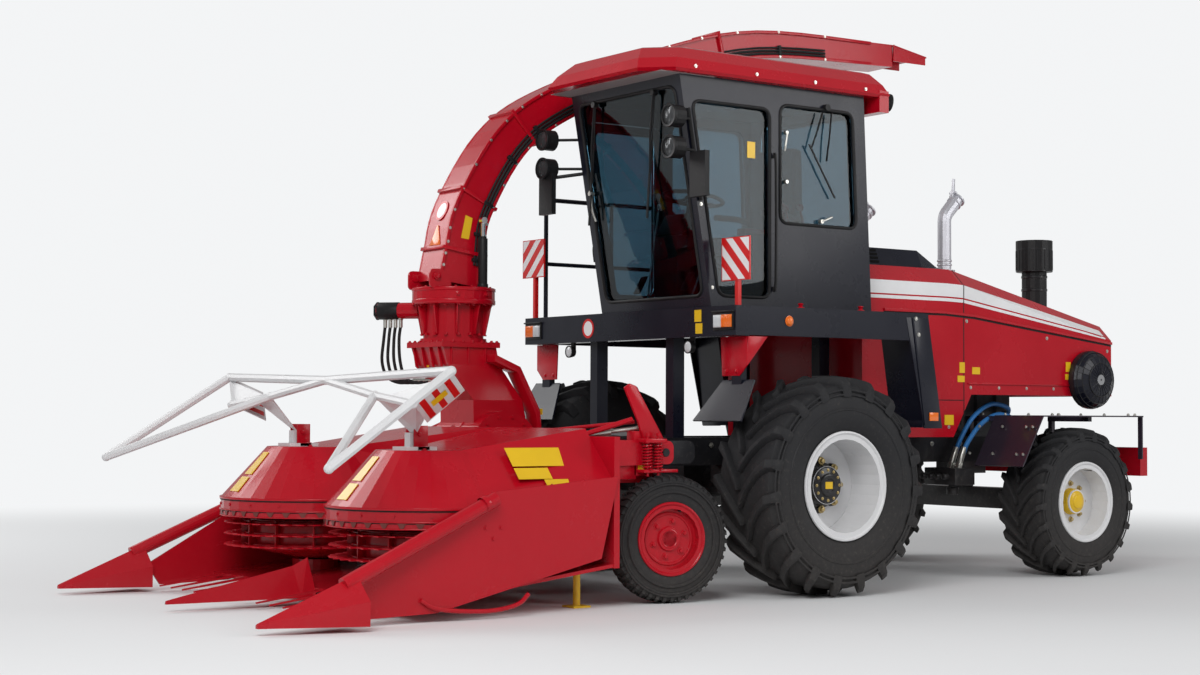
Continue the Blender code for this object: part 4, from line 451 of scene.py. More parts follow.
# Per axle, for the left side: centre, outward way, tyre and rim radius, half rim width, and where
# the side rings stand. Then the tread: half width, lugs a row, height, half thickness at root and
# top, slant
AXLES = {"drive": ((1.22, 0.247, 0.69), (1, 0, 0), 0.69, 0.335, 0.24, 0.262,
                   (0.268, 19, 0.044, 0.034, 0.023, 0.4)),
         "rear": ((1.02, 2.791, 0.525), (1, 0, 0), 0.525, 0.277, 0.18, 0.198,
                  (0.203, 21, 0.034, 0.025, 0.017, 0.4)),
         "header": ((1.1, -0.883, 0.385), (0.97815, -0.20791, 0), 0.385, 0.215, 0.073, 0.084,
                    (0.08, 46, 0.013, 0.011, 0.009, 0.06))}
for (side_name, side), axle in ((s, a) for s in SIDES for a in AXLES):
    centre, way, tyre, rim, half, side_width, tread = AXLES[axle]
    centre, way = (Vector((side * v[0], v[1], v[2])) for v in (centre, way))
    name, body = f"{axle}_{side_name}", f"{side_name}_{axle}_wheel"
    aim = way.to_track_quat('Z', 'Y')
    on_header = axle == "header"
    tread_tyre(centre, way, tyre, rim, *tread)
    casing = fit(f"{name}_tyre_tread", rubber, body, 0.0 if on_header else 0.004)
    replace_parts(casing, f"{axle}_tyre_{side_name}")
    rim_finish = crimson if on_header else white
    dress(rim_finish, 0.0, f"{axle}_rim_{side_name}")
    turned([(rim + 0.004, half - 0.01), (rim + 0.008, half), (rim + 0.005, half + 0.008),
            (rim - 0.004, half + 0.01), (rim - 0.012, half + 0.004), (rim - 0.02, half - 0.01),
            (rim - 0.026, half - 0.016)], centre, way, 56)
    if not on_header:
        for along in (half * 0.36, half * 0.68):
            turned(band(rim - 0.032, rim - 0.04, along, 0.014, 0.006), centre, way, 56)
    fit(f"{name}_rim_curl", rim_finish, body)
    for share, thick in ((0.4, 0.005), (0.66, 0.0035), (0.74, 0.0035)):
        radius = rim + (tyre - rim) * share
        turned([(radius - thick * 2, side_width), (radius - thick, side_width + thick),
                (radius + thick, side_width + thick), (radius + thick * 2, side_width)], centre, way, 56)
    fit(f"{name}_tyre_bead", rubber, body)
    if axle == "drive":
        turned([(0.15, -0.016), (0.146, 0.006), (0.128, 0.02), (0.126, 0.06), (0.112, 0.076),
                (0.074, 0.08), (0.07, 0.092), (0.044, 0.094), (0.04, 0.086), (0, 0.086)], centre, way, 40)
        for a in circle(8):
            planet = centre + aim @ polar(0.152, a)
            rod(planet - way * 0.022, planet + way * 0.012, 0.03, 0.026)
        fit(f"{name}_hub", hub_black, body, 0.002)
        bolts(centre + way * 0.012, way, 0.152, 8, 0.017, 0.026)
        bolts(centre + way * 0.078, way, 0.095, 12, 0.007, 0.008)
        fit(f"{name}_nuts", brass, body, 0.001)
        block(*(centre + way * along + Vector((0, s * 0.03, s * 0.022))
                for along, s in ((0.084, -1), (0.088, 1))))
        fit(f"{name}_label", yellow, body)
    elif axle == "rear":
        turned([(0.1, 0.03), (0.092, 0.046), (0.09, 0.082), (0.076, 0.1), (0.052, 0.108),
                (0.048, 0.116), (0.02, 0.12), (0, 0.12)], centre, way)
        fit(f"{name}_hub", yellow, body, 0.002)
        bolts(centre + way * 0.04, way, 0.128, 8, 0.014, 0.022)
        fit(f"{name}_nuts", brass, body, 0.001)
    else:
        turned([(0.078, 0.024), (0.07, 0.04), (0.052, 0.05), (0.048, 0.046), (0, 0.046)], centre, way, 32)
        turned([(0.166, 0.02), (0.16, 0.036), (0.146, 0.038), (0.14, 0.026)], centre, way, 48)
        bolts(centre + way * 0.028, way, 0.108, 6, 0.014, 0.022, start=0.3)
        fit(f"{name}_hub", crimson, body, 0.002)
    out = aim @ Vector((0.35, 0.94, 0))
    root = centre + out * (rim - 0.036) + way * (half * 0.5)
    rod(root, root + way * half * 0.42 - out * 0.006, 0.006, 0.005, sides=10)
    fit(f"{name}_valve", hose_rubber, body)

# Rear mudguards
# Each is folded steel sheet in a dark plum-black coat, bent over the rear tyre. Small plated bolts
# hold it to its frame along every bend.
plum = paint("plum_black_enamel", (0.03, 0.022, 0.034), 0.22, mud=0.15)
dress(plum, 0.003, "fender_left", "fender_right")
for side_name, side in SIDES:
    for x in (0.44, 0.66, 0.88, 1.1, 1.16):
        for y, z, lean in ((2.19, 0.87, -0.5), (2.29, 1.06, -0.5), (2.56, 1.146, 0), (3.38, 1.146, 0)):
            stud((side * x, y, z - 0.006), (0, lean, 1), 0.008, 0.012)
    fit(f"fender_bolts_{side_name}", plated)

# Blue hoses
# Two stiff blue hydraulic hoses arch from the valve block beside the chassis up to the engine.
# Their crimped steel ends screw into the block, which is machined and painted like the frame.
HOSE_BLUE = 0.017
blue_rubber = paint("blue_hose_rubber", (0.035, 0.19, 0.5), 0.35, scale=3, dust=0.08,
                    coat=0.1, peel=0.3, mud=0.1)
for index, (lift, shift) in enumerate(((0.0, 0.0), (-0.075, 0.075))):
    points = [(0.56 + shift, 2.15, 0.86), (0.57 + shift, 2.19, 0.96 + lift * 0.2),
              (0.56 + shift, 2.33, 1.12 + lift * 0.7), (0.52 + shift * 0.8, 2.56, 1.215 + lift),
              (0.47 + shift * 0.5, 2.79, 1.19 + lift), (0.4, 2.87, 1.14 + lift)]
    hose_cord(f"blue_hose_{index + 1}", points, 6, HOSE_BLUE, 14, blue_rubber)
for shift in (0.0, 0.075):
    rod((0.552 + shift, 2.12, 0.79), (0.562 + shift, 2.16, 0.905), HOSE_BLUE * 1.25)
    rod((0.548 + shift, 2.104, 0.74), (0.552 + shift, 2.122, 0.795), HOSE_BLUE * 1.6, sides=6)
fit("blue_hose_ends", plated, edge_width=0.001)
block((0.4, 2.0, 0.64), (0.7, 2.2, 0.76))
for x in (0.44, 0.51, 0.58, 0.65):
    rod((x, 1.98, 0.7), (x, 1.93, 0.7), 0.02)
rod((0.58, 2.1, 0.62), (0.58, 2.1, 0.57), 0.045)
fit("valve_block", chassis_black, edge_width=0.004)

# Bonnet
# The bonnet is pressed and welded steel in gloss crimson. Two white stripes are masked and sprayed
# along each flank, an upper shell overhangs the side panels, and a seam parts front from rear.
dress(crimson, 0.006, "bonnet")
BONNET_HALF, BONNET_BREAK_Y, BONNET_TAIL_Y, STRIPE_END_Y = 0.71, 2.047, 3.667, 3.6
BONNET_EDGE_Z, BONNET_FALL, LIP_FALL = 2.06, 0.36, 0.178


def fallen(y, end=BONNET_TAIL_Y):
    """How far along its slope the bonnet is at a place."""
    return max(y - BONNET_BREAK_Y, 0) / (end - BONNET_BREAK_Y)


def bonnet_edge(y):
    """Z where the flank turns into the chamfer."""
    return BONNET_EDGE_Z - BONNET_FALL * fallen(y)


def bonnet_skin(side, y, z, out=0.0):
    """A place on the bonnet's flank or on its chamfer."""
    return (side * (BONNET_HALF - max(z - bonnet_edge(y), 0) + out), y, z)


def bonnet_strip(side, rows, thick=0.0016):
    """A strip laid on the flank: rows of Y, lower Z and upper Z."""
    rings = []
    for y, low, high in rows:
        levels = (low, min(max(bonnet_edge(y), low + 0.002), high - 0.002), high)
        rings.append([bonnet_skin(side, y, z, thick) for z in levels]
                     + [bonnet_skin(side, y, z, -0.006) for z in reversed(levels)])
    loft(rings)


stripe_white = paint("stripe_white", (0.8, 0.8, 0.81), 0.28, dust=0.04, mud=0.0)
# Near-black strips: real panel seams, and painted shadow under the bonnet lips and under the hood lips and
# flanges.
seam_and_shadow_black = paint("seam_rubber_and_painted_shadow", (0.014, 0.01, 0.011), 0.6, coat=0.0, mud=0.0)
LIP_ROWS = [(y, 1.846 - LIP_FALL * fallen(y), 1.866 - LIP_FALL * fallen(y))
            for y in (1.3 + 2.366 * k / 8 for k in range(9))]
for side_name, side in SIDES:
    for low, high, low_tail, high_tail in ((1.968, 2.06, 1.733, 1.776), (1.934, 1.957, 1.709, 1.724)):
        for start, end in ((1.12, 2.076), (2.086, STRIPE_END_Y)):
            spots = [(y, fallen(y, STRIPE_END_Y)) for y in (start + (end - start) * k / 6 for k in range(7))]
            bonnet_strip(side, [(y, low + (low_tail - low) * t, high + (high_tail - high) * t)
                                for y, t in spots])
    fit(f"bonnet_stripes_{side_name}", stripe_white)
    bonnet_strip(side, LIP_ROWS, 0.014)
    bonnet_strip(side, [(2.12, 1.352, 1.364), (3.3, 1.352, 1.364)], 0.009)
    fit(f"bonnet_lip_{side_name}", crimson, edge_width=0.003)
    # Painted shadow: a dark strip on the flank right under the overhanging lip.
    bonnet_strip(side, [(y, low - 0.014, low - 0.001) for y, low, high in LIP_ROWS], 0.0012)
    bonnet_strip(side, [(2.077, 1.13, 2.167), (2.085, 1.13, 2.167)], 0.001)
    bonnet_strip(side, [(1.3, 1.236, 1.242), (2.08, 1.236, 1.242)], 0.001)
    fit(f"bonnet_seams_and_lip_shadow_{side_name}", seam_and_shadow_black)
    for k in range(6):
        stud(bonnet_skin(side, 2.15 + 0.29 * k, 1.33), (side, 0, 0), 0.008, 0.005)
    for y, z in ((2.11, 1.8), (2.95, 1.7), (3.62, 1.42), (3.62, 1.62), (1.36, 1.05), (1.93, 1.05)):
        stud(bonnet_skin(side, y, z), (side, 0, 0), 0.009, 0.006)
    fit(f"bonnet_rivets_{side_name}", plated)
    for y, z, wide, high in ((2.063, 1.47, 0.052, 0.075), (2.052, 1.39, 0.07, 0.045),
                             (2.204, 1.45, 0.078, 0.05), (3.181, 1.494, 0.052, 0.072),
                             (3.18, 1.42, 0.062, 0.04), (1.931, 1.1, 0.09, 0.07)):
        bonnet_strip(side, [(y + s * wide / 2, z - high / 2, z + high / 2) for s in (-1, 1)], 0.0022)
    fit(f"bonnet_labels_{side_name}", yellow)
block((-0.602, 2.077, 2.158), (0.602, 2.085, 2.1665))
for x in (-0.3, 0, 0.3):
    block((x - 0.1, 3.664, 1.36), (x + 0.1, 3.6685, 1.62))
fit("bonnet_top_seam", seam_and_shadow_black)

# Intake box, screen and pre-cleaner
# The black box ahead of the exhausts is slotted sheet. The radiator screen is a round drum of wire
# mesh with a chromed centre, and the pre-cleaner is a moulded black bowl with ribs on a tube.
navy = paint("navy_enamel", (0.006, 0.007, 0.015), 0.28, dust=0.04, coat=0.12, mud=0.12)
dress(navy, 0.006, "bonnet_grille")
dress(navy, 0.003, "radiator_screen")
dress(lamp_black, 0.004, "air_precleaner")
# The slots are painted shade: near-black boxes laid on the sheet where the openings look dark.
slot_painted_shade = paint("slot_shadow", (0.003, 0.003, 0.003), 0.9, dust=0.0, coat=0.0, mud=0.0)
for side in (1, -1):
    for y in (1.175, 1.305):
        for z in (2.19 + 0.027 * row for row in range(4)):
            x = 0.56 - 0.43 * (z - 2.17)
            block((side * x, y, z), (side * (x + 0.0025), y + 0.105, z + 0.017))
for column in range(5):
    for row in range(3):
        x, z = -0.42 + 0.175 * column, 2.185 + 0.036 * row
        block((x, 1.1445, z), (x + 0.14, 1.15, z + 0.022))
fit("grille_slot_shade", slot_painted_shade)
SCREEN, CLEANER = Vector((0.7105, 3.397, 1.4)), Vector((0.15, 3.447, 0))
ACROSS = (1, 0, 0)
mesh_black = paint("screen_mesh", (0.016, 0.016, 0.018), 0.35, dust=0.25, mud=0.0)
turned([(0.2165, 0.01), (0.2175, 0.02), (0.2175, 0.036), (0.215, 0.046)], SCREEN, ACROSS, 60)
for radius, along in ((0.205, 0.072), (0.176, 0.1), (0.125, 0.1245)):
    pipe([SCREEN + Vector((along, radius * math.cos(a), radius * math.sin(a))) for a in circle(48)],
         0.0032, 6, closed=True)
for a in circle(24):
    pipe([SCREEN + Vector((along, radius * math.cos(a), radius * math.sin(a)))
          for radius, along in ((0.216, 0.046), (0.183, 0.098), (0.118, 0.1245), (0.04, 0.13))], 0.0018, 6)
fit("screen_cage", mesh_black)
chrome = paint("chromed_steel", (0.75, 0.76, 0.78), 0.08, dust=0.04, coat=0.0, peel=0.0,
               mud=0.0, metal=1.0)
turned([(0.045, 0.112), (0.045, 0.122), (0.038, 0.129), (0, 0.1295)], SCREEN, ACROSS, 30)
fit("screen_boss", chrome)
for a in circle(28):
    rib = CLEANER + polar(0.139, a)
    rod(rib + UP * 2.255, rib + UP * 2.405, 0.0028, sides=6)
for z, radius in ((2.245, 0.1395), (2.412, 0.1395), (2.476, 0.1365)):
    turned([(radius - 0.004, z - 0.006), (radius, z - 0.003), (radius, z + 0.003),
            (radius - 0.004, z + 0.004)], CLEANER, UP, 48)
for z in (1.9, 2.1, 2.2):
    turned(band(0.094, 0.099, z, 0.012, 0.008), CLEANER, UP, 40)
fit("precleaner_ribs", mesh_black)

# Exhausts
# Two aluminised steel pipes come up through the bonnet and bend back, each under a hinged rain cap
# with a counterweight lever standing above it. Clamps hold them at the foot.
alloy = paint("aluminised_steel", (0.56, 0.56, 0.6), 0.38, dust=0.12, coat=0.0, peel=0.25,
              mud=0.0, metal=0.55)
for side_name, side in SIDES:
    dress(alloy, 0.0, f"exhaust_{side_name}")
    mouth = Vector((side * 0.46, 2.277, 2.697))
    cap = Vector((0, 1, 1)).normalized()
    rod(mouth - cap * 0.006, mouth + cap * 0.006, 0.06, sides=32)
    rod(mouth - cap * 0.05, mouth - cap * 0.038, 0.055, sides=28)
    x, y, z = mouth + Vector((0, -1, 1)).normalized() * 0.055
    block((x - 0.012, y - 0.02, z - 0.028), (x + 0.012, y + 0.02, z + 0.02))
    rod((x - 0.034, y, z + 0.006), (x + 0.034, y, z + 0.006), 0.008)
    side_plate(x - 0.005, [(y - 0.014, z), (y + 0.014, z), (y + 0.016, z + 0.11), (y - 0.008, z + 0.11)],
               0.01)
    for z in (2.215, 2.245):
        turned(band(0.049, 0.0535, z, 0.008, 0.004), (side * 0.46, 2.147, 0), UP, 32)
    fit(f"exhaust_fittings_{side_name}", alloy, edge_width=0.001)

# Platform
# The deck is folded sheet on posts: a deep front beam, side skirts and mudguards, in a blue-black
# gloss enamel. Lamps, reflectors, a blank speed disc and blank labels are screwed to it.
dress(navy, 0.004, "platform")
dress(navy, 0.002, "handrail", "ladder")
label_white = paint("disc_white", (0.82, 0.82, 0.82), 0.35, dust=0.04, mud=0.0)
label_red = paint("signal_red", (0.62, 0.01, 0.01), 0.3, dust=0.04, mud=0.0)
FORWARD = (0, -1, 0)
BEAM = -0.397                                 # Y of the front beam's face
for x0, x1 in ((0.955, 1.15), (-1.15, -0.955)):
    block((x0, BEAM - 0.01, 1.655), (x1, BEAM + 0.004, 1.768))
    block((x0 - 0.006, BEAM - 0.022, 1.765), (x1 + 0.006, BEAM + 0.004, 1.775))
fit("beam_lamp_frames", lamp_black, edge_width=0.003)
for name, finish, inner, outer in (("clear", lens_white, 0.968, 1.04), ("orange", lens_orange, 1.043, 1.138)):
    for x0, x1 in ((inner, outer), (-outer, -inner)):
        block((x0, BEAM - 0.02, 1.672), (x1, BEAM - 0.002, 1.75))
        for x in (x0 + (x1 - x0) * (k + 0.5) / 6 for k in range(6)):
            rod((x, BEAM - 0.02, 1.678), (x, BEAM - 0.02, 1.744), 0.0035, sides=8)
    fit(f"beam_lamp_{name}", finish, edge_width=0.003)
DISC = (-0.395, BEAM, 1.711)
turned([(0.066, -0.002), (0.066, 0.003), (0.05, 0.003), (0.05, -0.002)], DISC, FORWARD, 44)
fit("speed_disc_ring", label_red)
turned([(0.051, -0.002), (0.051, 0.0024), (0, 0.0024)], DISC, FORWARD, 44)
fit("speed_disc", label_white)
block((0.76, BEAM - 0.002, 1.715), (0.828, BEAM + 0.002, 1.79))
block((0.77, BEAM - 0.002, 1.64), (0.838, BEAM + 0.002, 1.705))
fit("beam_labels", yellow)
for side in (1, -1):
    turned([(0.03, -0.004), (0.03, 0.006), (0.024, 0.016), (0.01, 0.022), (0, 0.023)],
           (side * 1.165, 0.038, 1.72), (side, 0, 0), 26)
    block((side * 1.168, 1.27, 1.095), (side * 1.1765, 1.35, 1.15))
    rod((side * 1.168, 0.038, 1.72), (side * 1.17, 0.038, 1.72), 0.034, sides=26)
fit("side_reflectors", lens_orange, edge_width=0.001)
for side_name, side in SIDES:
    side_plate(side * 1.158, [(1.06, 1.777), (1.268, 1.777), (1.395, 1.045), (1.228, 1.045)], side * 0.01)
    block((side * 0.865, 1.215, 1.05), (side * 1.16, 1.235, 1.1))
    fit(f"guard_flange_{side_name}", navy, edge_width=0.002)
    for y, z in ((1.15, 1.77), (1.175, 1.665)):
        turned([(0.016, -0.002), (0.015, 0.004), (0.008, 0.009), (0, 0.01)], (side * 1.168, y, z),
               (side, 0, 0), 18)
    for x, y, z in ((0.966, -0.334, 1.19), (1.06, -0.315, 1.225)):
        stud((side * x, y, z), (0, -0.86, 0.5), 0.009, 0.008)
    fit(f"guard_screws_{side_name}", plated)
    front_plate(-0.3, [(side * x, z) for x, z in ((0.9, 1.618), (1.158, 1.618), (1.158, 1.44),
                                                    (1.085, 1.372), (0.915, 1.372))], 0.01)
    side_plate(side * 1.15, [(-0.3, 1.618), (-0.13, 1.618), (-0.29, 1.44)], side * 0.008)
    for x in (0.955, 1.055):
        stud((side * x, -0.3, 1.4), FORWARD, 0.011, 0.008)
    fit(f"guard_hanger_{side_name}", crimson, edge_width=0.002)
    for y in (0.18, 0.7):
        turned([(0.026, 0.0), (0.026, 0.006), (0.012, 0.012), (0.014, 0.022), (0.02, 0.028),
                (0.012, 0.034), (0, 0.035)], (side * 1.115, y, 1.806), UP, 20)
    fit(f"deck_knobs_{side_name}", crimson)
UNDER_LAMPS = [(side * 0.66, -0.355, 1.56) for side in (1, -1)]
for x, y, z in UNDER_LAMPS:
    block((x - 0.02, -0.34, 1.56), (x + 0.02, -0.325, 1.622))
    turned([(0.006, -0.03), (0.034, -0.022), (0.042, 0.012), (0.042, 0.02), (0.036, 0.02)], (x, y, z),
           FORWARD, 26)
fit("under_lamps", lamp_black)
for spot in UNDER_LAMPS:
    turned([(0.037, 0.016), (0.024, 0.022), (0, 0.024)], spot, FORWARD, 26)
fit("under_lamp_lenses", lens_white)
TREAD_Z, TREAD_LONG = 1.8072, 0.42
for x in (0.9 + 0.036 * row for row in range(7)):
    for y in (-0.22, 0.28, 0.78):
        for side in (1, -1):
            rod((side * x, y, TREAD_Z), (side * x, y + TREAD_LONG, TREAD_Z), 0.0035, sides=6)
LADDER_TOP_Y, LADDER_LEAN, STEP_HALF = 1.749, 0.3 / 1.327, 0.15
fit("deck_tread", navy)
for z in (0.5, 0.8, 1.1, 1.4, 1.7):
    for k in range(4):
        y = LADDER_TOP_Y - LADDER_LEAN * (z - 0.48) - STEP_HALF + 0.03 * k
        rod((-1.09, y, z + 0.012), (-0.82, y, z + 0.012), 0.004, sides=6)
fit("ladder_tread", plated)

# Cab shell and glass
# The cab is welded from folded steel in the same blue-black enamel. Its panes are dark tinted
# safety glass, held in black rubber gaskets, with wipers, latches and grab rails screwed on.
CAB_LEFT, CAB_RIGHT = 0.885, -0.283
DECK, CAB_HEIGHT = 1.807, 1.453
FRONT_LEAN, REAR_LEAN = 0.26, 0.07            # how far each wall leans forward over that height
dress(navy, 0.006, "cab_shell")
dress(navy, 0.003, "cab_door")
glass, shader, add = new_material("tinted_glass")
haze = add("ShaderNodeTexNoise", {"Vector": add("ShaderNodeTexCoord").outputs["Object"], "Scale": 2.2,
                                  "Detail": 4.0}).outputs["Fac"]
tint = add("ShaderNodeMix", {"Factor": haze, 6: (0.12, 0.2, 0.25, 1), 7: (0.16, 0.26, 0.31, 1)},
           data_type='RGBA')
smear = add("ShaderNodeMapRange", {"Value": haze, "From Min": 0.55, "From Max": 0.8, "To Min": 0.0,
                                   "To Max": 0.02})
wire(shader, {"Base Color": tint.outputs[2], "Roughness": smear.outputs["Result"],
              "Transmission Weight": 1.0, "IOR": 1.3})
for name in ("windscreen", "glass_rear", "glass_left_front", "glass_left_rear", "glass_right_rear",
             "cab_door_glass"):
    node[name].data.materials.clear()
    node[name].data.materials.append(glass)


def cab_front(z):
    """Y of the cab's leaning front wall at a height."""
    return AXLE - 0.61 - FRONT_LEAN * (z - DECK) / CAB_HEIGHT


def cab_rear(z):
    return AXLE + 0.77 - REAR_LEAN * (z - DECK) / CAB_HEIGHT


def gasket_loop(corners, bend, radius):
    """A closed rubber strip with its corners rounded."""
    route = []
    for before, here, after in zip(corners[-1:] + corners, corners, corners[1:] + corners[:1]):
        here = Vector(here)
        back, ahead = (Vector(before) - here).normalized(), (Vector(after) - here).normalized()
        route += [here + back * bend * (1 - k / 5) ** 2 + ahead * bend * (k / 5) ** 2 for k in range(6)]
    pipe(route, radius, 8, closed=True)


gasket = paint("gasket_rubber", (0.012, 0.012, 0.013), 0.5, scale=2, dust=0.12, coat=0.0,
               peel=0.3, mud=0.0)
TALL_PANE = [(cab_front(1.88) + 0.07, 1.88), (0.117, 1.88), (0.117, 3.1), (cab_front(3.1) + 0.07, 3.1)]
SIDE_PANE = [(0.207, 2.37), (cab_rear(2.37) - 0.11, 2.37), (cab_rear(3.14) - 0.11, 3.14), (0.207, 3.14)]
DOOR_PANE = [(cab_front(1.93) + 0.12, 1.936), (0.066, 1.936), (0.066, 3.044), (cab_front(3.04) + 0.12, 3.044)]
for x, pane in ((CAB_LEFT + 0.001, TALL_PANE), (CAB_LEFT + 0.001, SIDE_PANE), (CAB_RIGHT - 0.001, SIDE_PANE)):
    gasket_loop([(x, y, z) for y, z in pane], 0.07, 0.011)
for x0, x1, low, high, wall in ((-0.2155, 0.8175, 1.88, 3.19, cab_front),
                                (-0.148, 0.75, 2.35, 3.14, cab_rear)):
    gasket_loop([(x, wall(z), z) for x, z in ((x0, low), (x1, low), (x1, high), (x0, high))], 0.07, 0.011)
fit("cab_gaskets", gasket)
gasket_loop([(CAB_RIGHT - 0.001, y, z) for y, z in DOOR_PANE], 0.06, 0.008)
rod((CAB_RIGHT - 0.004, -0.4, 2.3), (CAB_RIGHT - 0.04, -0.4, 2.3), 0.014)
pipe(smooth_route([(CAB_RIGHT - 0.036, -0.4, 2.3), (CAB_RIGHT - 0.048, -0.4, 2.24),
                   (CAB_RIGHT - 0.04, -0.395, 2.16)]), 0.01)
fit("door_gasket_and_handle", gasket, "door")
pipe(smooth_route([(CAB_LEFT + 0.002, 0.145, 1.95), (CAB_LEFT + 0.03, 0.145, 1.99),
                   (CAB_LEFT + 0.03, 0.145, 2.75), (CAB_LEFT + 0.002, 0.145, 2.79)], 4), 0.009, 10)
for y0, z0, y1, z1 in ((0.56, 3.12, 0.47, 2.88), (0.64, 3.12, 0.6, 2.8)):
    pipe([(CAB_LEFT + 0.018, y0, z0), (CAB_LEFT + 0.02, (y0 + y1) / 2, (z0 + z1) / 2),
          (CAB_LEFT + 0.012, y1, z1)], 0.006, 8)
rod((CAB_LEFT, 0.6, 3.155), (CAB_LEFT + 0.03, 0.6, 3.155), 0.022)
side_plate(CAB_LEFT + 0.01, [(0.44, 2.9), (0.452, 2.9), (0.68, 2.56), (0.668, 2.56)], 0.008)
WIPER_TOP, WIPER_REACH = 3.17, 0.52
for x in (0.62, -0.02):
    start = Vector((x, cab_front(WIPER_TOP) - 0.018, WIPER_TOP))
    end = Vector((x - 0.16, cab_front(WIPER_TOP - WIPER_REACH) - 0.016, WIPER_TOP - WIPER_REACH))
    pipe([start, start.lerp(end, 0.5) + Vector((0, -0.01, 0)), end], 0.007, 8)
    pipe([start + Vector((0.014, 0, 0)), end + Vector((0.012, 0, 0.03))], 0.004, 8)
    pipe([end + Vector((0.02, -0.002, 0.22)), end + Vector((-0.02, -0.004, -0.26))], 0.008, 6)
    rod(start + Vector((0, 0.02, 0)), start + Vector((0, -0.014, 0)), 0.02)
fit("cab_wipers", lamp_black)
for z in (2.96, 2.64):
    rod((CAB_LEFT - 0.008, 0.255, z), (CAB_LEFT + 0.016, 0.255, z), 0.012)
pipe(smooth_route([(CAB_LEFT + 0.016, 0.255, 2.96), (CAB_LEFT + 0.02, 0.24, 2.89),
                   (CAB_LEFT + 0.014, 0.235, 2.84)], 4), 0.007)
rod((-0.19, cab_front(2.6) - 0.002, 2.6), (-0.19, cab_front(2.6) - 0.035, 2.606), 0.014, 0.018)
pipe(smooth_route([(-0.19, cab_front(2.6) - 0.02, 2.6), (-0.195, cab_front(2.5) - 0.026, 2.5),
                   (-0.19, cab_front(2.4) - 0.014, 2.42)], 4), 0.008)
rod((CAB_LEFT - 0.01, 0.56, 2.4), (CAB_LEFT + 0.018, 0.56, 2.4), 0.014)
pipe([(CAB_LEFT + 0.014, 0.56, 2.4), (CAB_LEFT + 0.02, 0.64, 2.432)], 0.008)
for z in (1.93, 2.45, 2.95):
    for x, way in ((CAB_LEFT, 1), (CAB_RIGHT, -1)):
        stud((x, cab_front(z) + 0.03, z), (way, 0, 0), 0.008, 0.006)
fit("cab_latches", plated)
block((0.8655, -0.055, 2.775), (0.8685, 0.01, 2.88))
fit("cab_label", yellow)

# Cab interior
# A sprung seat with foam cushions under woven cloth stands behind a dark column with the steering
# wheel. A moulded grey-black console with red levers, plated sticks and two pedals surrounds it.
CAB_MIDDLE, FLOOR, GROOVE_WIDTH = 0.301, 1.86, 0.07
cloth, shader, add = new_material("woven_seat_cloth")
place = add("ShaderNodeTexCoord").outputs["Object"]
warp, weft = (add("ShaderNodeTexWave", {"Vector": place, "Scale": 160.0, "Distortion": 0.6},
                  bands_direction=way).outputs["Fac"] for way in 'XZ')
weave = add("ShaderNodeMath", {0: warp, 1: weft}, operation='MULTIPLY').outputs[0]
fade = add("ShaderNodeTexNoise", {"Vector": place, "Scale": 6.0, "Detail": 5.0})
blend = add("ShaderNodeMath", {0: weave, 1: fade.outputs["Fac"]}, operation='MULTIPLY')
tone = add("ShaderNodeMix", {"Factor": blend.outputs[0], 6: (0.02, 0.021, 0.025, 1),
                             7: (0.085, 0.088, 0.1, 1)}, data_type='RGBA')
bump = add("ShaderNodeBump", {"Height": weave, "Strength": 0.5, "Distance": 0.002})
wire(shader, {"Base Color": tone.outputs[2], "Normal": bump.outputs["Normal"], "Roughness": 0.9,
              "Sheen Weight": 0.4})
dress(lamp_black, 0.003, "steering_column")


def cushion(name, low, high, dip):
    """A crowned cushion: its sides pull in between the corners, and two grooves are sewn along it."""
    block(low, high)
    middle = (Vector(low) + Vector(high)) / 2
    half = (Vector(high) - Vector(low)) / 2
    bmesh.ops.subdivide_edges(work, edges=work.edges, cuts=9, use_grid_fill=True)
    for vert in work.verts:
        x, y, z = ((vert.co[k] - middle[k]) / half[k] for k in range(3))
        pull = (abs(y * z), abs(x * z), abs(x * y))
        fill = ((1 - y * y) * (1 - z * z), (1 - x * x) * (1 - z * z), (1 - x * x) * (1 - y * y))
        for k, share in enumerate((x, y, z)):
            if abs(share) > 0.999:
                vert.co[k] -= share * dip * (1 - fill[k]) * (0.7 + 0.3 * pull[k])
        for groove in (-0.35, 0.35):
            depth = dip * 0.6 * math.exp(-((x - groove) / GROOVE_WIDTH) ** 2)
            vert.co += (middle - vert.co).normalized() * depth
    item = fit(name, cloth)
    swell = item.modifiers.new("swell", 'SUBSURF')
    swell.levels = swell.render_levels = 1


cushion("seat_cushion", (0.063, 0.26, 2.205), (0.539, 0.69, 2.335), 0.02)
cushion("seat_back", (0.073, 0.615, 2.3), (0.529, 0.735, 2.945), 0.02)
block((0.1, 0.3, 2.16), (0.5, 0.72, 2.205))
for index in range(7):
    block((0.16 - 0.006 * index % 2, 0.34, 1.9 + 0.036 * index),
          (0.44 + 0.006 * index % 2, 0.64, 1.926 + 0.036 * index))
block((0.13, 0.32, 1.859), (0.47, 0.66, 1.9))
for side in (1, -1):
    pipe(smooth_route([(CAB_MIDDLE + side * 0.225, 0.69, 2.42), (CAB_MIDDLE + side * 0.232, 0.56, 2.47),
                       (CAB_MIDDLE + side * 0.232, 0.33, 2.475)], 4), 0.022, 10)
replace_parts(fit("seat_base", lamp_black, edge_width=0.006), "seat")
red_knob = paint("red_moulding", (0.45, 0.012, 0.01), 0.35, dust=0.06, mud=0.0)
block((0.585, 0.05, FLOOR), (0.8, 0.7, 2.3))
block((0.18, -0.27, FLOOR), (0.42, -0.15, 2.3))
plate([(0.16, -0.235, 2.3), (0.44, -0.235, 2.3), (0.42, -0.165, 2.44), (0.18, -0.165, 2.44)],
      (0, -0.02, 0.01))
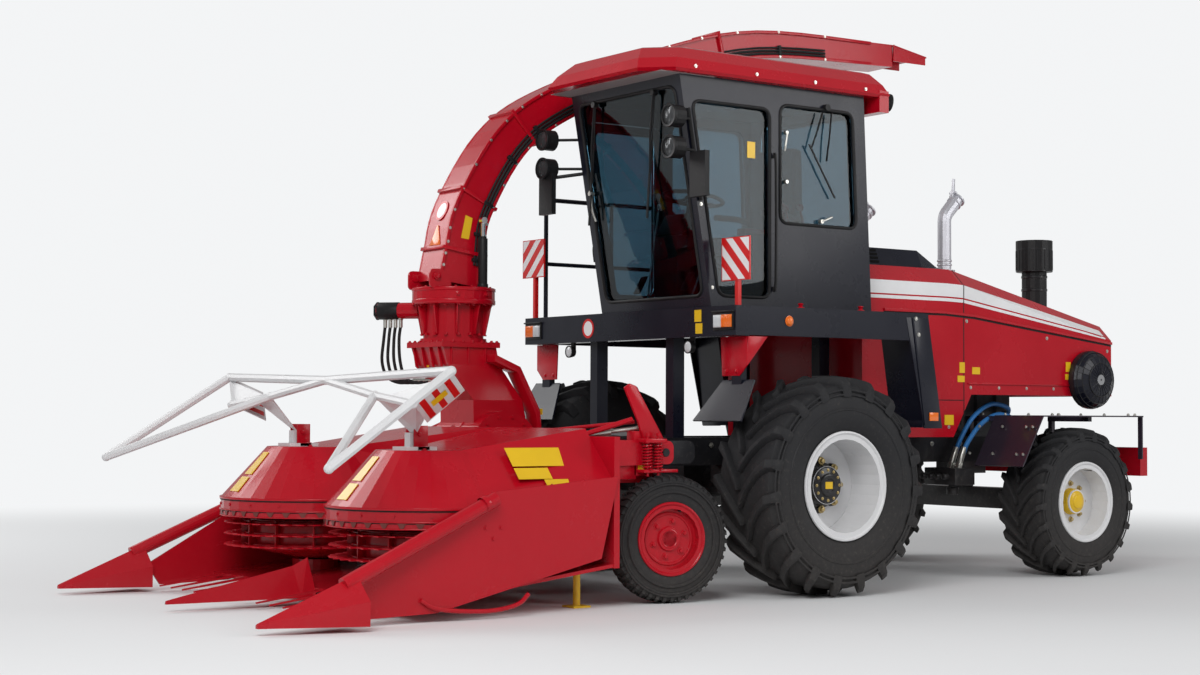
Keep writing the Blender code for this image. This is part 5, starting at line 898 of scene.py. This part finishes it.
for x in (0.02, 0.52):
    plate([(x, -0.33, 1.93), (x + 0.07, -0.33, 1.93), (x + 0.07, -0.26, 2.05), (x, -0.26, 2.05)],
          (0, 0.012, -0.006))
block((-0.235, 0.5, FLOOR), (-0.05, 0.9, 2.15))
fit("cab_consoles", lamp_black, edge_width=0.01)
block((0.6, 0.08, 2.3), (0.69, 0.3, 2.345))
for x in (0.225, 0.32):
    block((x, -0.215, 2.33), (x + 0.06, -0.15, 2.39))
for x, y in ((0.72, 0.42), (0.64, 0.52), (0.74, 0.56)):
    tip = (x - 0.01, y - 0.04, 2.48)
    rod((x, y, 2.3), tip, 0.009)
    turned([(0, -0.004), (0.02, 0.0), (0.026, 0.02), (0.018, 0.044), (0, 0.05)], tip, (-0.05, -0.2, 1), 16)
fit("cab_red_levers", red_knob, edge_width=0.006)
for x, y, top in ((0.06, -0.24, 2.5), (0.1, -0.22, 2.15), (0.52, -0.24, 2.08), (0.15, -0.25, 2.1)):
    tip = (x + 0.06, y + 0.05, top)
    rod((x, y, FLOOR), tip, 0.007)
    turned([(0, -0.002), (0.013, 0.002), (0.015, 0.016), (0.009, 0.03), (0, 0.034)], tip, (0.1, 0.1, 1), 14)
fit("cab_sticks", plated)
turned([(0.052, -0.022), (0.058, 0.0), (0.046, 0.02), (0.02, 0.03), (0, 0.031)],
       (CAB_MIDDLE, -0.043, 2.56), Vector((0, 0.13, 0.74)), 28)
fit("steering_boss", lamp_black)

# Cab roof
# The roof is one moulded crimson cap, screwed along its edges, with a grey liner under its front.
# A round work lamp stands on a bracket behind its left corner.
dress(crimson, 0.01, "cab_roof")
liner = paint("roof_liner", (0.3, 0.28, 0.28), 0.8, dust=0.05, coat=0.0, peel=0.5, mud=0.0)
block((-0.3, -0.78, 3.257), (0.9, -0.35, 3.2603))
fit("roof_liner", liner)
for y in (-0.55, -0.05, 0.45, 0.9):
    for side in (1, -1):
        stud((CAB_MIDDLE + side * 0.655, y, 3.3), (side, 0, 0), 0.008, 0.006)
fit("roof_screws", plated)
lens_clear = paint("lamp_lens", (0.16, 0.17, 0.18), 0.06, dust=0.05, coat=0.9, peel=0.0, mud=0.0,
                   metal=0.6)


def lens_ribs(spot, way, step, reach, crown, thick):
    """Seven bowed bars across a round lens."""
    aim = Vector(way).to_track_quat('Z', 'Y')
    for k in range(-3, 4):
        tall = reach * math.sqrt(1 - (k / 4) ** 2)
        pipe([Vector(spot) + aim @ Vector((step * k, s * tall, rise))
              for s, rise in ((-1, 0.007), (0, crown), (1, 0.007))], thick, 6)


LAMP, LAMP_WAY, LAMP_RADIUS = (0.86, 1.2, 3.25), (0.35, 1, -0.1), 0.06
turned([(0, -0.075), *((LAMP_RADIUS * share, along) for share, along in
                       ((0.45, -0.07), (0.8, -0.045), (1, -0.008), (1.02, 0.004), (0.99, 0.012),
                        (0.88, 0.01), (0.87, 0.0)))], LAMP, LAMP_WAY, 32)
lens_ribs(LAMP, LAMP_WAY, LAMP_RADIUS * 0.21, LAMP_RADIUS * 0.84, 0.014, 0.0022)
pipe(smooth_route([(0.83, 1.1, 3.2), (0.85, 1.12, 3.235), (0.856, 1.15, 3.25)], 4), 0.01)
fit("rear_lamp", lamp_black)
turned([(LAMP_RADIUS * 0.88, 0.002), (LAMP_RADIUS * 0.5, 0.009), (0, 0.012)], LAMP, LAMP_WAY, 32)
fit("rear_lamp_lens", lens_clear)

# Mirrors and work lamps
# Each front pillar carries two round work lamps and a mirror on black bent tube. The lamps are
# pressed steel with ribbed glass, and the mirror is silvered glass in a moulded black case.
for side_name, x, mirror_x, mirror_y in (("left", CAB_LEFT + 0.06, CAB_LEFT + 0.17, -0.5952),
                                         ("right", CAB_RIGHT - 0.16, CAB_RIGHT - 0.17, -0.6952)):
    dress(lamp_black, 0.004, f"mirror_{side_name}")
    lamps = [Vector((x, -0.744, z)) for z in (2.975, 2.781)]
    for spot in lamps:
        turned([(0.07, -0.004), (0.074, 0.0), (0.0745, 0.012), (0.07, 0.016), (0.06, 0.014),
                (0.06, 0.0)], spot, FORWARD)
        lens_ribs(spot, FORWARD, 0.0145, 0.058, 0.013, 0.002)
        rod(spot + Vector((0, 0.08, 0)), spot + Vector((0, 0.1, 0)), 0.05, 0.03, 24)
    fit(f"work_lamp_rims_{side_name}", lamp_black)
    for spot in lamps:
        turned([(0.061, 0.001), (0.035, 0.008), (0, 0.011)], spot, FORWARD)
    fit(f"work_lamp_lenses_{side_name}", lens_clear)
    front_plate(mirror_y, [(mirror_x - 0.045, 2.485), (mirror_x + 0.083, 2.485), (mirror_x + 0.083, 2.735),
                           (mirror_x - 0.045, 2.735)], 0.0016)
    fit(f"mirror_glass_{side_name}", chrome)

# Warning boards
# Two square aluminium sheets stand on posts at the deck's corners. They carry slanted bands of
# white and red reflective film, cut at the sheet's edges.
dress(label_red, 0.001, "warning_board_left", "warning_board_right")
HALF_BOARD, BAND_WIDTH, SLANT = 0.129, 0.048, 0.7071


def cut_band(corners, way, low, high):
    """The part of a flat outline between two parallel lines."""
    for sign, limit in ((1, low), (-1, -high)):
        kept = []
        for here, ahead in zip(corners, corners[1:] + corners[:1]):
            a, b = (sign * (p[0] * way[0] + p[1] * way[1]) - limit for p in (here, ahead))
            if a >= 0:
                kept.append(here)
            if a * b < 0:
                t = a / (a - b)
                kept.append((here[0] + (ahead[0] - here[0]) * t, here[1] + (ahead[1] - here[1]) * t))
        corners = kept
    return corners


square = [(a * HALF_BOARD, b * HALF_BOARD) for a, b in ((-1, -1), (1, -1), (1, 1), (-1, 1))]
for side_name, lean, x, z in (("left", 1, 1.087, 2.1), ("right", -1, -1.1, 2.23)):
    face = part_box(f"warning_board_{side_name}")[0][1] + 0.0004
    front_plate(face, [(x + a, z + b) for a, b in square], -0.001)
    fit(f"board_ground_{side_name}", stripe_white)
    for start in (-0.12, -0.024, 0.072):
        stripe = cut_band(square, (SLANT * lean, SLANT), start, start + BAND_WIDTH)
        front_plate(face, [(x + a, z + b) for a, b in stripe], -0.0018)
    fit(f"board_bands_{side_name}", label_red)

# Chopper housing and riser
# The rotor box, its blower drum and the riser are welded crimson sheet. The riser's square flange
# is bolted all round and stiffened by fins, and a bent stay runs down to the intake.
dress(crimson, 0.005, "chopper_housing")
dress(crimson, 0.003, "spout_neck")
TURRET = Vector((-0.7, -1.283, 0))
DRUM_SIDE = (-0.3805, -1.073, 0.88)
for x in (-0.905 + 0.068 * k for k in range(7)):
    for y in (-1.497, -1.07):
        stud((x, y, 1.6), UP, 0.01, 0.012)
for y in (-1.42 + 0.075 * k for k in range(5)):
    for x in (-0.916, -0.484):
        stud((x, y, 1.6), UP, 0.01, 0.012)
bolts(TURRET + UP * 1.65, UP, 0.211, 16, 0.009, 0.012)
bolts(TURRET + UP * 1.85, -UP, 0.25, 16, 0.009, 0.012)
stud((-0.899, -1.073, 0.88), (-1, 0, 0), 0.02, 0.016)
bolts(DRUM_SIDE, ACROSS, 0.23, 14, 0.009, 0.01)
fit("riser_bolts", crimson)
for x in (-0.87 + 0.105 * k for k in range(4)):
    side_plate(x, [(-1.487, 1.575), (-1.5, 1.575), (-1.475, 1.44), (-1.448, 1.42)], 0.01)
for y in (-1.43, -1.3, -1.17):
    front_plate(y, [(-0.5, 1.575), (-0.482, 1.575), (-0.486, 1.47), (-0.494, 1.43)], 0.01)
side_plate(-0.5, [(-1.16, 1.52), (-0.96, 1.44), (-0.8, 1.15), (-0.785, 0.975), (-0.815, 0.975),
                    (-0.835, 1.13), (-0.985, 1.405), (-1.16, 1.47)], 0.125)
turned(band(0.272, 0.276, 0, 0.01, 0.006), (-0.6, -1.073, 0.88), ACROSS, 48)
turned([(0.15, 0.0), (0.15, 0.02), (0.12, 0.028), (0.06, 0.03), (0, 0.03)], DRUM_SIDE, ACROSS)
for a in (math.radians(36 * k + 10) for k in range(10)):
    across = polar(0.005, a + math.pi / 2)
    plate([TURRET + polar(radius, a, z) + across for radius, z in
           ((0.199, 1.652), (0.219, 1.652), (0.259, 1.85), (0.199, 1.85))], across * -2)
turned(band(0.274, 0.278, 1.868, 0.016, 0.012), TURRET, UP, 56)
fit("riser_fins", crimson, edge_width=0.002)
motor_end = Vector((-1.118, -1.612, 1.817))
rod((-1.0, -1.522, 1.817), motor_end, 0.0585, sides=28)
rod(motor_end - Vector((0.016, 0.012, 0)), motor_end, 0.062, sides=6)
fit("turning_motor", lamp_black, edge_width=0.004)
block((-0.778, -1.452, 1.435), (-0.735, -1.448, 1.475))
block((-0.5, -0.744, 1.125), (-0.44, -0.738, 1.165))
fit("riser_labels", yellow)

# Turret and spout
# The turret is a ring with two ears that carry the spout. The spout is a bent square duct of
# crimson sheet, stiffened by flanged edges and bolted collars, with clamped hoses along its side.
dress(crimson, 0.004, "spout_turret", "spout", "spout_flap")
AIMED = Matrix.Translation(TURRET) @ Matrix.Rotation(math.radians(-3), 4, 'Z')
DUCT_HALF = 0.14
# Y, Z and depth along the duct, before it is aimed
DUCT_ROWS = ((-0.03, 1.985, 0.33), (0.0, 2.2, 0.3), (0.065, 2.49, 0.275), (0.345, 2.95, 0.262),
             (0.73, 3.245, 0.245), (1.53, 3.59, 0.22), (2.43, 3.835, 0.2), (3.73, 3.885, 0.17))
duct_line = smooth_route(DUCT_ROWS, 6)
last = len(duct_line) - 1


def duct_place(index, share, x, out=0.0):
    """A place on the duct: share 1 is its upper edge and -1 its lower one."""
    row = duct_line[index]
    ahead = duct_line[min(index + 1, last)] - duct_line[max(index - 1, 0)]
    along = Vector((ahead[0], ahead[1])).normalized()
    reach = share * row[2] / 2 + out
    return Vector((x, row[0] - along[1] * reach, row[1] + along[0] * reach))


def duct_way(index, share=0):
    return (duct_place(index + 1, share, 0) - duct_place(index - 1, share, 0)).normalized()


def turret_fit(name, finish, body="spout_arm", edge_width=0.0):
    bmesh.ops.transform(work, matrix=AIMED, verts=work.verts)
    fit(name, finish, body, edge_width)


def duct_plate(index, outline, thick):
    """A flat shape on the spout's front face, given across and along it."""
    centre, along, across = duct_place(index, 1, 0, 0.0015), duct_way(index, 1), Vector((1, 0, 0))
    plate([centre + across * a + along * b for a, b in outline], along.cross(across).normalized() * -thick)


for side in (1, -1):
    for share in (1, -1):
        corners = [(side * (DUCT_HALF + wide), share * out) for wide, out in
                   ((-0.002, 0.002), (0.016, 0.002), (0.016, -0.02), (-0.002, -0.02))]
        loft([[duct_place(index, share, x, out) for x, out in corners] for index in range(1, last)])
for index in (6, 13, 20, 27, 34):
    along = duct_way(index) * 0.012
    outer_a, outer_b, inner_a, inner_b = (
        [work.verts.new(duct_place(index, s, x * (DUCT_HALF + grow), s * grow) + along * shift)
         for s, x in ((1, 1), (1, -1), (-1, -1), (-1, 1))]
        for grow in (0.02, -0.002) for shift in (-1, 1))
    for k in range(4):
        work.faces.new((outer_a[k], outer_b[k], outer_b[k - 1], outer_a[k - 1]))
        work.faces.new((inner_a[k - 1], inner_b[k - 1], inner_b[k], inner_a[k]))
        work.faces.new((outer_a[k], outer_a[k - 1], inner_a[k - 1], inner_a[k]))
        work.faces.new((outer_b[k - 1], outer_b[k], inner_b[k], inner_b[k - 1]))
turret_fit("spout_flanges", crimson, edge_width=0.002)
for index in range(3, last - 1, 2):
    for side in (1, -1):
        for share in (0.93, -0.93):
            stud(duct_place(index, share, side * (DUCT_HALF + 0.015)), (side, 0, 0), 0.007, 0.008)
turret_fit("spout_bolts", plated)
for offset, radius in ((0.03, 0.009), (0.052, 0.009), (0.074, 0.007)):
    pipe([duct_place(index, -1, DUCT_HALF + 0.012, offset) for index in range(4, last - 2)], radius, 8)
turret_fit("spout_hoses", hose_rubber)
for index in range(5, last - 2, 4):
    low, high = (duct_place(index, -1, DUCT_HALF, offset) for offset in (0.015, 0.09))
    along = duct_way(index, -1) * 0.012
    plate([low - along, low + along, high + along, high - along], (0.024, 0, 0))
turret_fit("spout_hose_clamps", lamp_black, edge_width=0.002)
duct_plate(11, [polar(0.07, a).xy for a in circle(36)], 0.003)
turret_fit("spout_disc_ring", label_red)
duct_plate(11, [polar(0.054, a).xy for a in circle(36)], 0.0045)
turret_fit("spout_disc", label_white)
duct_plate(8, [(-0.075, -0.06), (0.075, -0.06), (0.01, 0.075), (-0.01, 0.075)], 0.004)
turret_fit("spout_triangle", lens_orange, edge_width=0.001)
plate([duct_place(index, share, DUCT_HALF + 0.0005) for index, share in
       ((8, 0.25), (8, -0.15), (11, -0.15), (11, 0.25))], (0.0018, 0, 0))
turret_fit("spout_label", yellow)
for side in (1, -1):
    rod((side * 0.13, -0.215, 2.03), (side * 0.176, -0.215, 2.03), 0.026, sides=20)
    rod((side * 0.174, -0.215, 2.03), (side * 0.186, -0.215, 2.03), 0.018, sides=6)
bolts((0, 0, 1.96), UP, 0.245, 14, 0.01, 0.012)
turned([(0.274, 1.935), (0.279, 1.94), (0.279, 1.958), (0.272, 1.962)], (0, 0, 0), UP, 56)
for out in (polar(1, math.radians(45 * k + 22)) for k in (0, 3, 4, 7)):
    stud(out * 0.275 + UP * 1.915, out, 0.012, 0.012)
turret_fit("turret_fittings", crimson, "turret", 0.001)
RAM = (0.215, 0.1)                            # X and Y of the lift ram's axis
for low, high, radius, sides in ((1.985, 2.286, 0.0305, 24), (2.284, 2.3, 0.024, 20),
                                 (1.958, 1.985, 0.036, 24)):
    rod((*RAM, low), (*RAM, high), radius, sides=sides)
turret_fit("spout_ram", lamp_black, "turret", 0.002)
rod((*RAM, 2.298), (*RAM, 2.4), 0.015, sides=20)
rod((0.195, 0.1, 2.405), (0.235, 0.1, 2.405), 0.022, sides=20)
turret_fit("spout_ram_rod", chrome, "turret")
low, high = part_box("spout_flap")
for x in (-0.505, -0.44):
    block((x, 2.7, 3.912), (x + 0.05, 2.76, 3.914))
for side in (1, -1):
    stud((0.5 * (low[0] + high[0]) + side * 0.14, 2.62, 3.905), (side, 0, 0), 0.012, 0.01)
fit("flap_fittings", plated, "flap")

# Header frame
# The header's frame, floor and arms are welded crimson sheet and box tube. Bent levers with paired
# coil springs hang the gauge wheels, and long bars and a plated cylinder tie them to the frame.
dress(crimson, 0.004, "header_frame")
LEVER = [(-1.003, 0.93), (-0.833, 0.93), (-0.88, 1.01), (-1.073, 1.3), (-1.12, 1.315), (-1.16, 1.29),
         (-1.06, 1.09)]
COIL_TURNS = 9
for side_name, side in SIDES:
    dress(crimson, 0.006, f"drum_hood_{side_name}")
    dress(crimson, 0.005, f"side_divider_{side_name}")
    dress(yellow, 0.002, f"stand_{side_name}")
    side_plate(side * 1.03, LEVER, side * 0.02)
    for x0, y0, z0, x1, y1, z1 in ((0.985, -1.06, 0.78, 1.11, -0.8, 0.8),
                                   (1.04, -1.06, 0.96, 1.13, -0.9, 0.985),
                                   (0.96, -1.08, 0.76, 1.035, -0.93, 1.03),
                                   (0.96, -1.385, 0.74, 1.035, -1.06, 0.86)):
        block((side * x0, y0, z0), (side * x1, y1, z1))
    fit(f"wheel_lever_{side_name}", crimson, "header", 0.005)
    x = side * 1.09
    for y in (-1.02, -0.94):
        pipe([polar(0.026, 2 * math.pi * COIL_TURNS * t, 0.8 + 0.162 * t) + Vector((x, y, 0))
              for t in (k / 144 for k in range(145))], 0.0052, 6)
        rod((x, y, 0.76), (x, y, 1.02), 0.009, sides=12)
        rod((x, y, 1.0), (x, y, 1.016), 0.016, sides=6)
    fit(f"wheel_springs_{side_name}", crimson, "header")
    rod((side * 0.9, -1.42, 0.99), (side * 1.01, -1.075, 1.1), 0.016, sides=14)
    rod((side * 0.5, -1.43, 1.02), (side * 1.0, -1.05, 1.085), 0.012, sides=12)
    fit(f"header_bars_{side_name}", crimson, "header")
    rod((side * 0.82, -1.43, 0.985), (side * 0.93, -1.18, 1.025), 0.026, sides=22)
    rod((side * 0.93, -1.18, 1.025), (side * 1.02, -0.985, 1.055), 0.013, sides=16)
    rod((side * 1.01, -0.985, 1.055), (side * 1.034, -0.985, 1.055), 0.024, sides=18)
    fit(f"header_cylinder_{side_name}", plated, "header", 0.001)
    for low, high in ((0.88, 0.94), (0.8, 0.85)):
        block((side * 1.0355, -1.05, low), (side * 1.0375, -1.0, high))
    fit(f"header_labels_{side_name}", yellow, "header")

# Drum hoods
# Each hood is a cone of rolled sheet over a turning drum. A rolled lip closes the cone, below it run
# two bands with painted shadow as a dark strip under each overhang, and steel knives hang under the lower
# band.
dress(crimson, 0.004, "divider_middle")
DRUM_X, DRUM_Y = 0.69, -2.293
CONE_RUN, CONE_RISE = 0.285, 0.315
HALF_TURN_STEPS = 36
knife_steel = paint("knife_steel", (0.2, 0.05, 0.045), 0.4, dust=0.3, coat=0.0, peel=0.3,
                    metal=0.6)


def hood_band(drum, inner, outer, low, high):
    """A ring round the front half of a drum."""
    loft([[drum + polar(radius, math.pi * (1 + k / HALF_TURN_STEPS), z)
           for radius, z in ((inner, low), (outer, low), (outer, high), (inner, high))]
          for k in range(HALF_TURN_STEPS + 1)])


def cone_spot(drum, degrees, share, out):
    """A place on the hood's cone, from its rim at share 0 to its top at share 1."""
    a = math.radians(degrees)
    return (drum + polar(0.6 - CONE_RUN * share, a, 0.605 + CONE_RISE * share)
            + polar(CONE_RISE, a, CONE_RUN).normalized() * out)


for side_name, side in SIDES:
    drum = Vector((side * DRUM_X, DRUM_Y, 0))
    hood_band(drum, 0.59, 0.607, 0.596, 0.61)
    hood_band(drum, 0.59, 0.608, 0.528, 0.535)
    hood_band(drum, 0.59, 0.605, 0.49, 0.498)
    for y in (-1.85, -1.55):
        block((side * 1.285, y - 0.006, 0.6), (side * 1.2925, y + 0.006, 0.735))
    fit(f"hood_lips_{side_name}", crimson, "header", 0.002)
    # Painted shadow: dark strips right under the lip and under the flange, where they overhang the band
    # below.
    hood_band(drum, 0.59, 0.6025, 0.588, 0.5962)
    hood_band(drum, 0.59, 0.602, 0.5225, 0.5282)
    fit(f"hood_shadow_strips_{side_name}", seam_and_shadow_black, "header")
    for a in (math.radians(187 + 9.8 * k) for k in range(18)):
        across = polar(1, a + math.pi / 2)
        plate([drum + polar(0.601, a, z) + across * wide for wide, z in
               ((0.026, 0.527), (-0.026, 0.527), (-0.004, 0.492), (0.004, 0.492))], polar(0.003, a))
    fit(f"hood_knives_{side_name}", knife_steel, "header")
    for k in range(6):
        stud(drum + polar(0.2, math.radians(60 * k + 20), 0.92), UP, 0.012, 0.012)
    for k in range(9):
        a = math.radians(190 + 20 * k)
        stud(drum + polar(0.6, a, 0.565), polar(1, a), 0.008, 0.006)
    fit(f"hood_bolts_{side_name}", crimson, "header")
    thick = cone_spot(drum, 268, 0.5, 0.004) - cone_spot(drum, 268, 0.5, 0)
    for low, high in ((0.12, 0.4), (0.45, 0.88)):
        plate([cone_spot(drum, a, share, 0.001) for a, share in
               ((262, low), (274, low), (274, high), (262, high))], thick)
    fit(f"hood_labels_{side_name}", yellow, "header")
slope = Vector((0.7, 0, 0.71))
for y0, y1, s0, s1 in ((-2.03, -1.63, 0.48, 0.8), (-2.03, -1.8, 0.26, 0.45), (-1.86, -1.66, 0.08, 0.25)):
    plate([Vector((1.29 - 0.29 * s, y, 0.668 + 0.322 * s)) + slope * 0.012
           for y, s in ((y0, s0), (y1, s0), (y1, s1), (y0, s1))], slope * 0.002)
fit("hood_flank_labels", yellow, "header")
for side in (1, -1):
    block((side * 0.64, -2.36, 0.92), (side * 0.8, -2.44, 0.945))
    for x in (0.67, 0.758):
        block((side * x, -2.355, 0.94), (side * (x + 0.012), -2.445, 1.06))
    rod((side * 0.655, -2.413, 1.01), (side * 0.785, -2.413, 1.01), 0.012)
fit("guard_brackets", crimson, "header", 0.002)

# Rotors
# Under each hood turns a drum with stacked discs, whose rims are cut into saw teeth.
# Drum and discs are welded steel in crimson enamel, with blades standing round the drum.
for side_name, side in SIDES:
    drum = Vector((side * DRUM_X, DRUM_Y, 0))
    turned([(0.099, 0.216), (0.42, 0.292), (0.42, 0.47), (0.105, 0.476)], drum, UP, 48)
    for z in (0.45, 0.38, 0.31):
        plate([drum + polar(radius, -side * 2 * math.pi * (k + share) / 36, z - 0.004) for k in range(36)
               for share, radius in ((0.0, 0.579), (0.45, 0.56), (0.6, 0.525), (0.95, 0.54))], (0, 0, 0.008))
        turned(band(0.445, 0.452, z, 0.012, 0.008), drum, UP, 48)
    for a in circle(12):
        across = polar(0.006, a + math.pi / 2)
        plate([drum + polar(radius, a, z) + across for radius, z in
               ((0.418, 0.296), (0.47, 0.296), (0.47, 0.466), (0.418, 0.466))], across * -2)
    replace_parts(fit(f"rotor_saws_{side_name}", crimson, f"{side_name}_rotor", 0.001), f"rotor_{side_name}")

# Dividers
# Pointed crimson noses of folded sheet part the crop. A round tube runs back from each outer nose,
# skid runners bear it on the ground, and screws join the sheets.
for side in (1, -1):
    for y, z in ((-2.3, 0.5), (-2.2, 0.5), (-2.25, 0.44)):
        stud((side * 1.306, y, z), (side, 0, 0), 0.012, 0.008)
    turned(band(0.046, 0.0475, 0.012, 0.016, 0.008), (side * 1.337, -2.34, 0.628),
           (-side * 0.064, 0.97, 0.42), 24)
    pipe(smooth_route([(side * x, y, z) for x, y, z in
                       ((1.315, -2.72, 0.125), (1.318, -2.6, 0.07), (1.318, -2.3, 0.045),
                        (1.315, -2.1, 0.07), (1.31, -2.02, 0.125))], 5), 0.013, 10)
fit("divider_fittings", crimson, "header")

# Crop guard
# White tubes stand ahead of the hoods to press tall crop down. They are joined by flat gussets,
# one on each side striped red and white with a yellow patch, and end in welded caps.
dress(white, 0.0, "crop_guard")
GUSSETS = []                                  # per side: the plate's corners and the way it faces
for side in (1, -1):
    a, b, joint, tip = (Vector((side * x, y + AXLE, z)) for x, y, z in
                        ((1.38, -2.825, 1.36), (1.14, -2.92, 1.18), (0.655, -2.89, 1.23),
                         (1.485, -3.62, 0.845)))
    for spot, radius in ((a, 0.0285), (b, 0.0285), (joint, 0.0285), (tip, 0.0275)):
        bmesh.ops.create_uvsphere(work, u_segments=16, v_segments=10, radius=radius,
                                  matrix=Matrix.Translation(spot))
    low_corner = Vector((side * 1.0, -2.5, 1.08))
    out = (b - a).cross(low_corner - a).normalized()
    if out.z > 0:
        out = -out
    GUSSETS.append((a, b, low_corner, a + low_corner - b, out))
    plate([p - out * 0.004 for p in GUSSETS[-1][:4]], out * 0.008)
fit("guard_gussets", white, "header", 0.001)
for a, b, low_corner, back_corner, out in GUSSETS:
    for s0, s1 in ((0.1, 0.26), (0.42, 0.58), (0.74, 0.9)):
        corners = [p.lerp(q, s) for p, q, s in ((a, b, s0), (a, b, s1), (back_corner, low_corner, s1),
                                                (back_corner, low_corner, s0))]
        middle = sum(corners, Vector()) / 4
        for surface in (0.0045, -0.006):
            plate([p.lerp(middle, 0.1) + out * surface for p in corners], out * 0.0015)
fit("guard_stripes", label_red, "header")
for a, b, low_corner, back_corner, out in GUSSETS:
    middle = (a + b + low_corner + back_corner) / 4
    across, up = (b - a).normalized(), (back_corner - a).normalized()
    for surface in (0.0065, -0.008):
        plate([middle + across * u * 0.06 + up * v * 0.026 + out * surface
               for u, v in ((-1, -1), (1, -1), (1, 1), (-1, 1))], out * 0.0015)
fit("guard_patches", yellow, "header")
